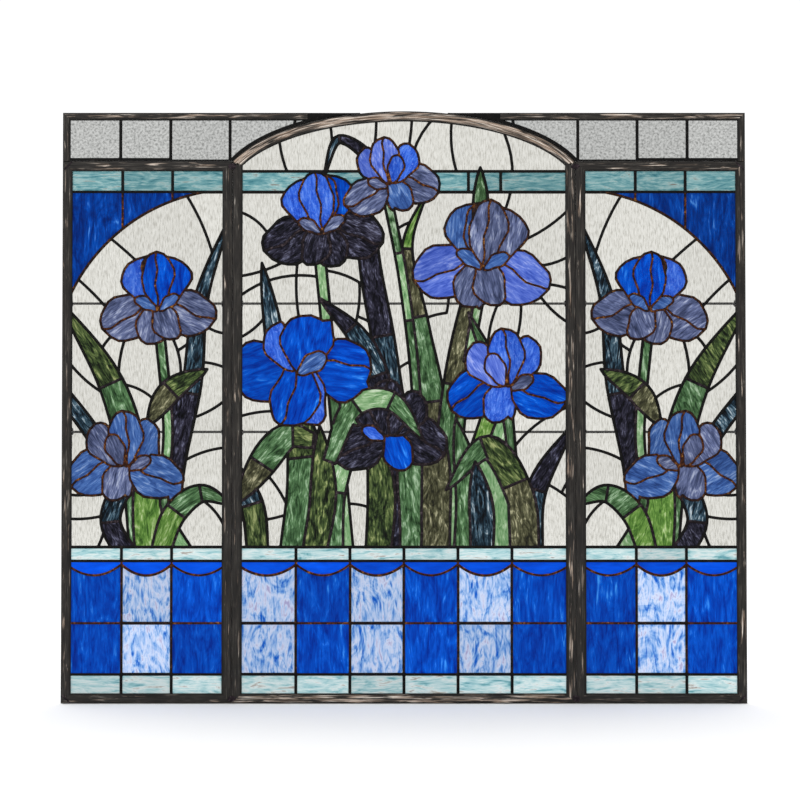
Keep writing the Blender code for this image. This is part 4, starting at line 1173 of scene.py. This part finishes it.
def glass_finish(name, stops, size, warp, through, rough, relief, fleck=None, spread=0.28):
    """A streaky glass: stops are colours from its deep to its light streaks, size that of a streak across
    and along the grain, fleck a colour of small flakes; a smaller spread gives harder streaks."""
    material, tree, shader = blank_material(name)
    grain = add(tree, "ShaderNodeUVMap", uv_map="grain").outputs["UV"]
    tone = add(tree, "ShaderNodeAttribute", attribute_name="tone").outputs["Fac"]
    fine = stretched_noise(tree, grain, (size[0], size[1], 1.0), 5.0, warp)
    wide = (size[0] * 4.2, size[1] * 1.9, 1.0)
    broad = stretched_noise(tree, grain, wide, 3.0, warp * 1.6, (4.0, 9.0, 0.0))
    both = add(tree, "ShaderNodeMath", {0: fine, 1: broad}, operation="ADD").outputs[0]
    level = add(tree, "ShaderNodeMath", {0: both, 1: 0.5}, operation="MULTIPLY").outputs[0]
    places = [0.5 + spread * (k / (len(stops) - 1) - 0.5) for k in range(len(stops))]
    colour = ramp(tree, level, *[(p, paint(c)) for p, c in zip(places, stops)])
    if fleck:
        flake = stretched_noise(tree, grain, (size[0] * 0.9, size[0] * 1.6, 1.0), 3.0, 0.8, (1.0, 5.0, 0.0))
        colour = mixed(tree, ramp(tree, flake, (0.56, grey(0.0)), (0.66, grey(0.8))), colour, paint(fleck))
    colour = mixed(tree, 1.0, colour, tone, "MULTIPLY")
    set_finish(tree, shader, colour, fine, relief, 0.0005,
               {"Roughness": rough, "Transmission Weight": through, "Specular IOR Level": 0.035})
    return material


def clear_finish(name, stops, size, relief):
    """See-through glass with a ripple or a stipple that catches the light."""
    material, tree, shader = blank_material(name)
    at = add(tree, "ShaderNodeTexCoord").outputs["Object"]
    ripple = stretched_noise(tree, at, size, 3.0, 0.4)
    tone = add(tree, "ShaderNodeAttribute", attribute_name="tone").outputs["Fac"]
    colour = mixed(tree, 1.0, ramp(tree, ripple, *stops), tone, "MULTIPLY")
    set_finish(tree, shader, colour, ripple, relief, 0.0004,
               {"Roughness": 0.05, "Transmission Weight": 1.0, "IOR": 1.45})
    return material


GLASSES = {
    "clear": clear_finish("ground_glass", ((0.34, paint("b2b0a8")), (0.48, paint("d2d1ca")),
                                           (0.60, paint("dfded8"))), (0.0015, 0.02, 0.009), 0.3),
    "granite": clear_finish("stippled_glass", ((0.34, paint("7e7f7d")), (0.48, paint("aeafad")),
                                               (0.62, paint("c6c7c5"))), (0.0028, 0.02, 0.0028), 0.45),
    "aqua": glass_finish("aqua_streaky", ["5f9aa4", "9ac4c9", "bcd6d7", "d8e3e2", "a29c94"],
                         (0.0040, 0.032), 1.4, 0.06, 0.2, 0.15),
    "sea": glass_finish("sea_streaky", ["2c6670", "53858d", "6e9a9e", "96b4b4", "74726c"],
                        (0.0040, 0.032), 1.6, 0.06, 0.2, 0.15),
    "cobalt": glass_finish("cobalt_streaky", ["001c74", "002e94", "0042b0", "0456ca", "3a90ea"],
                           (0.0050, 0.036), 1.3, 0.03, 0.16, 0.12, None, 0.36),
    "deep": glass_finish("deep_cobalt_streaky", ["001450", "002268", "003284", "0446a4", "4a88d4"],
                         (0.0050, 0.036), 1.3, 0.03, 0.16, 0.12, None, 0.34),
    "swag": glass_finish("royal_plain", ["0040c0", "004cd6", "0458e4"], (0.006, 0.03), 0.3, 0.03, 0.16, 0.08),
    "white": glass_finish("white_wispy", ["0c58c0", "6498da", "a8c2ea", "cfdaf2", "a9a6ce"],
                          (0.0090, 0.040), 2.6, 0.08, 0.18, 0.10, None, 0.26),
    "azure": glass_finish("azure_flecked", ["133aa4", "2350bf", "3a69d2", "6d93e6"],
                          (0.0026, 0.015), 0.7, 0.08, 0.18, 0.2, "5f82dd"),
    "denim": glass_finish("denim_streaky", ["1c3468", "2f4f8c", "466aa8", "8aa2cc"],
                          (0.0028, 0.020), 0.9, 0.08, 0.2, 0.2),
    "slate": glass_finish("slate_streaky", ["252c46", "414a6b", "646e94", "a6aec6"],
                          (0.0027, 0.020), 0.9, 0.08, 0.2, 0.25),
    "violet": glass_finish("violet_streaky", ["2f49a6", "465fbe", "627ad0", "9aa6e0"],
                           (0.0028, 0.020), 0.9, 0.08, 0.18, 0.2),
    # The lightest stops of the ink glass are painted highlights on its ripple as well as its own paler
    # streaks.
    "ink": glass_finish("ink_ripple", ["040406", "0d0d14", "1f1e2a", "393848", "6e7088"],
                        (0.0030, 0.015), 1.4, 0.04, 0.22, 0.5, None, 0.28),
    "teal": glass_finish("teal_navy_streaky", ["040608", "0c141b", "1e3240", "4d6878", "c2ced4"],
                         (0.0028, 0.022), 1.3, 0.06, 0.2, 0.4, None, 0.25),
    "leaf": glass_finish("leaf_mottled", ["182b18", "385735", "5b8056", "aac5a4"],
                         (0.0034, 0.022), 1.3, 0.08, 0.2, 0.25, None, 0.25),
    "lime": glass_finish("lime_mottled", ["243e18", "48702c", "6e9446", "b4c890"],
                         (0.0034, 0.019), 1.3, 0.08, 0.2, 0.25),
    "sage": glass_finish("sage_wispy", ["426e44", "6c9664", "92b386", "ccdcc2"],
                         (0.0034, 0.018), 1.3, 0.08, 0.2, 0.2),
    "moss": glass_finish("moss_mottled", ["090c07", "1a2414", "374726", "5d6d3e", "9aa26c"],
                         (0.0038, 0.021), 1.4, 0.08, 0.2, 0.3, None, 0.26),
    "olive": glass_finish("olive_mottled", ["1a1a14", "383826", "5d5d44", "b6b290"],
                          (0.0036, 0.016), 1.4, 0.08, 0.2, 0.3),
}
dict.fromkeys(("azure", "denim", "slate", "violet"), "petal_glass")
dict.fromkeys(("leaf", "lime", "sage", "moss", "olive"), "leaf_glass")


def foil_finish():
    """The dark copper foil round the edge of a pane."""
    material, tree, shader = blank_material("foiled_edge")
    shader.inputs["Base Color"].default_value = paint("1c1410")
    shader.inputs["Roughness"].default_value = 0.6
    return material


foiled_edge = foil_finish()
PANE_GAP = 0.0002
SMALLEST_PANE = 2e-6


def sheet_pieces(light, found, place, nodes_of):
    """The panes of a light, one piece of the object for each kind of glass."""
    kinds = {}
    for number, (loop, glass, grain) in enumerate(found):
        kinds.setdefault(glass, []).append((number, loop, grain))
    for glass, cut in sorted(kinds.items()):
        bm = bmesh.new()
        uv = bm.loops.layers.uv.new("grain")
        tone = bm.verts.layers.float.new("tone")
        for number, loop, grain in cut:
            rng = random.Random("%s %s %d" % (light, glass, number))
            vary = 0.05 if glass in ("clear", "granite") else 0.14
            shade = 1 + rng.uniform(-vary, vary)
            shift = (rng.uniform(0, 3), rng.uniform(0, 3))
            for edge in inset(loop, PANE_GAP):
                if area(edge) < SMALLEST_PANE:
                    continue
                ring = anticlockwise([place(x, z) for x, z in edge])
                front = [bm.verts.new((x, -GLASS_HALF, z)) for x, z in ring]
                back = [bm.verts.new((x, GLASS_HALF, z)) for x, z in ring]
                faces = [bm.faces.new(front), bm.faces.new(back[::-1])]
                for k in range(len(ring)):
                    side = bm.faces.new((front[k - 1], back[k - 1], back[k], front[k]))
                    side.material_index = 1
                for vert in front + back:
                    vert[tone] = shade
                way = (math.cos(grain), math.sin(grain))
                for face in faces:
                    for corner in face.loops:
                        x, _, z = corner.vert.co
                        across = z * way[0] - x * way[1]
                        along = x * way[0] + z * way[1]
                        corner[uv].uv = (across + shift[0], along + shift[1])
        finished("%s_%s_panes" % (light, glass), bm, [GLASSES[glass], foiled_edge],
                 nodes_of.get(glass, ()))


def fill_light(light, found, lines, place, nodes_of):
    """All the glass of a light, and the beads on both its faces."""
    sheet_pieces(light, found, place, nodes_of)
    bead_piece(light + "_front_solder", lines, place, -1, [light + "_leading"])
    bead_piece(light + "_back_solder", lines, place, 1)


IN_CHANNEL = 0.004
LIP_OVER = 0.001
wing_panes = panes(block(-IN_CHANNEL, WING_GLASS + IN_CHANNEL, GLASS_FOOT - IN_CHANNEL,
                         WING_GLASS_TOP + IN_CHANNEL), *wing_shapes())


def picture_line(top):
    """How wide the beads of a pane are: finer within a picture than in its bands."""
    def line_of(loop, glass):
        middle = sum(z for _, z in loop) / len(loop)
        if glass in ("aqua", "sea") or not FIELD_FOOT < middle < top:
            return CHECK_LINE if glass in BLUES else BAND_LINE
        return PETAL_LINE if glass in BLUES else PICTURE_LINE
    return line_of


def low_in_frame(width, top):
    """How high a seam's bead is: full on the light, flat in the channels."""
    def low_at(x, z):
        if -LIP_OVER <= x <= width + LIP_OVER and GLASS_FOOT - LIP_OVER <= z <= top(x) + LIP_OVER:
            return BEAD_HEIGHT
        return CHANNEL_HEIGHT
    return low_at


wing_lines = solder_lines(wing_panes, picture_line(FIELD_TOP - TOP_STRIP),
                          low_in_frame(WING_GLASS, lambda x: WING_GLASS_TOP))
WING_LEFT = -OUTER_EDGE + CAME_WIDTH


def wing(light, place):
    fill_light(light, wing_panes, wing_lines, place, {
        "clear": [light + "_field"],
        "aqua": [light + "_bottom_strip", light + "_middle_strip"],
        "sea": [light + "_top_strip"],
        "cobalt": [light + "_skirt_1", light + "_skirt_3"],
        "deep": [light + "_spandrel"],
        "white": [light + "_skirt_2"],
    })


wing("left_wing", lambda x, z: (WING_LEFT + x, z))
wing("right_wing", lambda x, z: (-WING_LEFT - x, z))


def under_arch(inward, foot):
    """A loop inside the centre's frame, measured from the left edge of its glass."""
    path = arch_path()
    line = [p + m * inward for p, m in zip(path, mitres(path, UP, DOWN))]
    half = HALF_CENTRE - inward
    loop = [(-half, foot), (half, foot)] + [(p.x, p.y) for p in line[::-1]]
    return [(x + HALF_GLASS, z) for x, z in loop]


centre_panes = panes(under_arch(CAME_WIDTH - IN_CHANNEL, GLASS_FOOT - IN_CHANNEL), *centre_shapes())
centre_lines = solder_lines(centre_panes, picture_line(TOP),
                            low_in_frame(CENTRE_GLASS, lambda x: arch_height(x - HALF_GLASS) - CAME_WIDTH))
fill_light("centre", centre_panes, centre_lines, lambda x, z: (x - HALF_GLASS, z), {
    "clear": ["centre_field"],
    "aqua": ["centre_bottom_strip", "centre_middle_strip"],
    "white": ["centre_skirt_1", "centre_skirt_3", "centre_skirt_5"],
    "cobalt": ["centre_skirt_2", "centre_skirt_4", "centre_skirt_6"],
})


# Corner lights
# Five panes of stippled glass over each wing. They stand on the wing's head and run along the arch, where a
# full line of solder closes them, and sit in a narrow came at the side and the top.

CORNER_LEFT = -OUTER_EDGE + THIN_CAME_WIDTH
CORNER_FOOT = WING_HEIGHT + 2 * GAP
CORNER_END = TOP_CAME_END + 2 * GAP
CORNER_LINE = BAND_LINE / 2
CORNER_STEPS = 40
CORNER_TIP = 0.020


def corner_light():
    """The left corner light: its outline, the lines of solder along its edges, and the cuts between panes."""
    rise, lifted = [], []
    for i in range(CORNER_STEPS + 1):
        x = HALF_CENTRE + (CORNER_END - HALF_CENTRE) * i / CORNER_STEPS
        rise.append((-x, arch_height(x) + 2 * GAP))
        lifted.append((-x - CORNER_LINE / 2, arch_height(x) + 2 * GAP + CORNER_LINE))
    top = CORNER_GLASS_TOP + IN_CHANNEL
    left = CORNER_LEFT - IN_CHANNEL
    outline = [(left, CORNER_FOOT), (-INNER_EDGE, CORNER_FOOT)] + rise + [(-CORNER_END, top), (left, top)]
    foot_line = block(left - OVER, -HALF_CENTRE + OVER, CORNER_FOOT - OVER, CORNER_FOOT + CORNER_LINE)
    arch_line = rise + [(-CORNER_END, TOP), (-CORNER_END - CORNER_LINE, TOP)] + lifted[::-1]
    cuts = []
    for u in (0.34, 0.635, 0.985):
        x = -OUTER_EDGE + u * WING_WIDTH
        cuts.append([(x, WING_HEIGHT), (x, TOP)])
    slant = -TOP_CAME_END - CORNER_TIP
    cuts.append([(slant - OVER, WING_HEIGHT), (slant + OVER, TOP)])
    return outline, [(foot_line, "solder", 0.0), (arch_line, "solder", 0.0)], cuts


corner_panes = []
for loop, glass, grain in panes(*corner_light()):
    corner_panes.append((loop, "granite" if glass == "clear" else glass, grain))


def low_in_corner(x, z):
    """How high a seam's bead is: full on the light, flat in the channels."""
    if x < CORNER_LEFT - LIP_OVER or z > CORNER_GLASS_TOP + LIP_OVER:
        return CHANNEL_HEIGHT
    return BEAD_HEIGHT


corner_lines = solder_lines(corner_panes, lambda loop, glass: BAND_LINE, low_in_corner)
corner_sheets = [pane for pane in corner_panes if pane[1] == "granite"]
fill_light("left_corner", corner_sheets, corner_lines, lambda x, z: (x, z),
           {"granite": ["left_corner_glass"]})
fill_light("right_corner", corner_sheets, corner_lines, lambda x, z: (-x, z),
           {"granite": ["right_corner_glass"]})


# Reinforcing bars
# Two plain drawn steel bars cross the back of each light, and show dark through the clear ground. Their
# ends lie on the cames, where a drop of solder holds each.

BAR_MIDDLE = 0.0046
FIXING_IN = 0.003


def bar_finish():
    """Drawn steel gone dull and brown."""
    material, tree, shader = blank_material("drawn_steel_bar")
    at = add(tree, "ShaderNodeTexCoord").outputs["Object"]
    cloud = stretched_noise(tree, at, (0.020, 0.002, 0.002), 4.0, 0.3)
    colour = ramp(tree, cloud, (0.35, paint("0c0b0a")), (0.55, paint("1f1c1a")), (0.72, paint("4a3d33")))
    set_finish(tree, shader, colour, cloud, 0.3, 0.0002,
               {"Metallic": 0.3, "Roughness": 0.5, "Specular IOR Level": 0.25})
    return material


drawn_steel_bar = bar_finish()
for light in ("left_wing", "centre", "right_wing"):
    for level in ("lower", "upper"):
        node = "%s_%s_bar" % (light, level)
        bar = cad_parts[node]
        bar.data.materials.clear()
        bar.data.materials.append(drawn_steel_bar)
        low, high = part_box(node)
        for x, end in ((low.x + FIXING_IN, "left"), (high.x - FIXING_IN, "right")):
            solder_drop("%s_%s_fixing" % (node, end), (x, BAR_MIDDLE, (low.z + high.z) / 2), "fixing")


# Floor, light and camera
# A plain white floor and an even white studio with a broad light from the upper left. The camera stands
# before the panel, a little under its middle, and looks slightly up.

def studio():
    """The white floor and world, the two lights and the camera."""
    bpy.ops.mesh.primitive_plane_add(size=12, location=(0, 0, -0.0005))
    floor = bpy.context.active_object
    floor.name = "floor"
    material, tree, shader = blank_material("white_floor")
    shader.inputs["Base Color"].default_value = grey(0.97)
    shader.inputs["Roughness"].default_value = 0.9
    floor.data.materials.append(material)
    floor.select_set(False)

    world = bpy.data.worlds.new("white_studio")
    world.use_nodes = True
    world.node_tree.nodes["Background"].inputs["Color"].default_value = grey(1.0)
    world.node_tree.nodes["Background"].inputs["Strength"].default_value = 1.06
    bpy.context.scene.world = world

    bpy.ops.object.light_add(type="AREA", location=(-1.6, -2.4, 2.0))
    key = bpy.context.active_object
    key.data.shape = "RECTANGLE"
    key.data.size = 1.6
    key.data.size_y = 1.2
    key.data.energy = 16
    key.rotation_euler = (Vector((0, 0, 0.38)) - key.location).to_track_quat("-Z", "Y").to_euler()
    key.select_set(False)

    bpy.ops.object.light_add(type="AREA", location=(0, 2.6, 2.6))
    rear = bpy.context.active_object
    rear.data.size = 4.0
    rear.data.energy = 40
    rear.select_set(False)

    pitch = math.radians(1.67)
    distance = 3.0
    aim = 0.384
    picture_span = 800 * 0.00127
    bpy.ops.object.camera_add(location=(-0.005, -distance, aim - distance * math.tan(pitch)))
    camera = bpy.context.active_object
    camera.rotation_euler = (math.pi / 2 + pitch, 0.0, 0.0)
    camera.data.sensor_width = 36
    camera.data.lens = 36 * distance / picture_span
    camera.select_set(False)
    bpy.context.scene.camera = camera
    bpy.context.scene.view_settings.view_transform = "Standard"


studio()
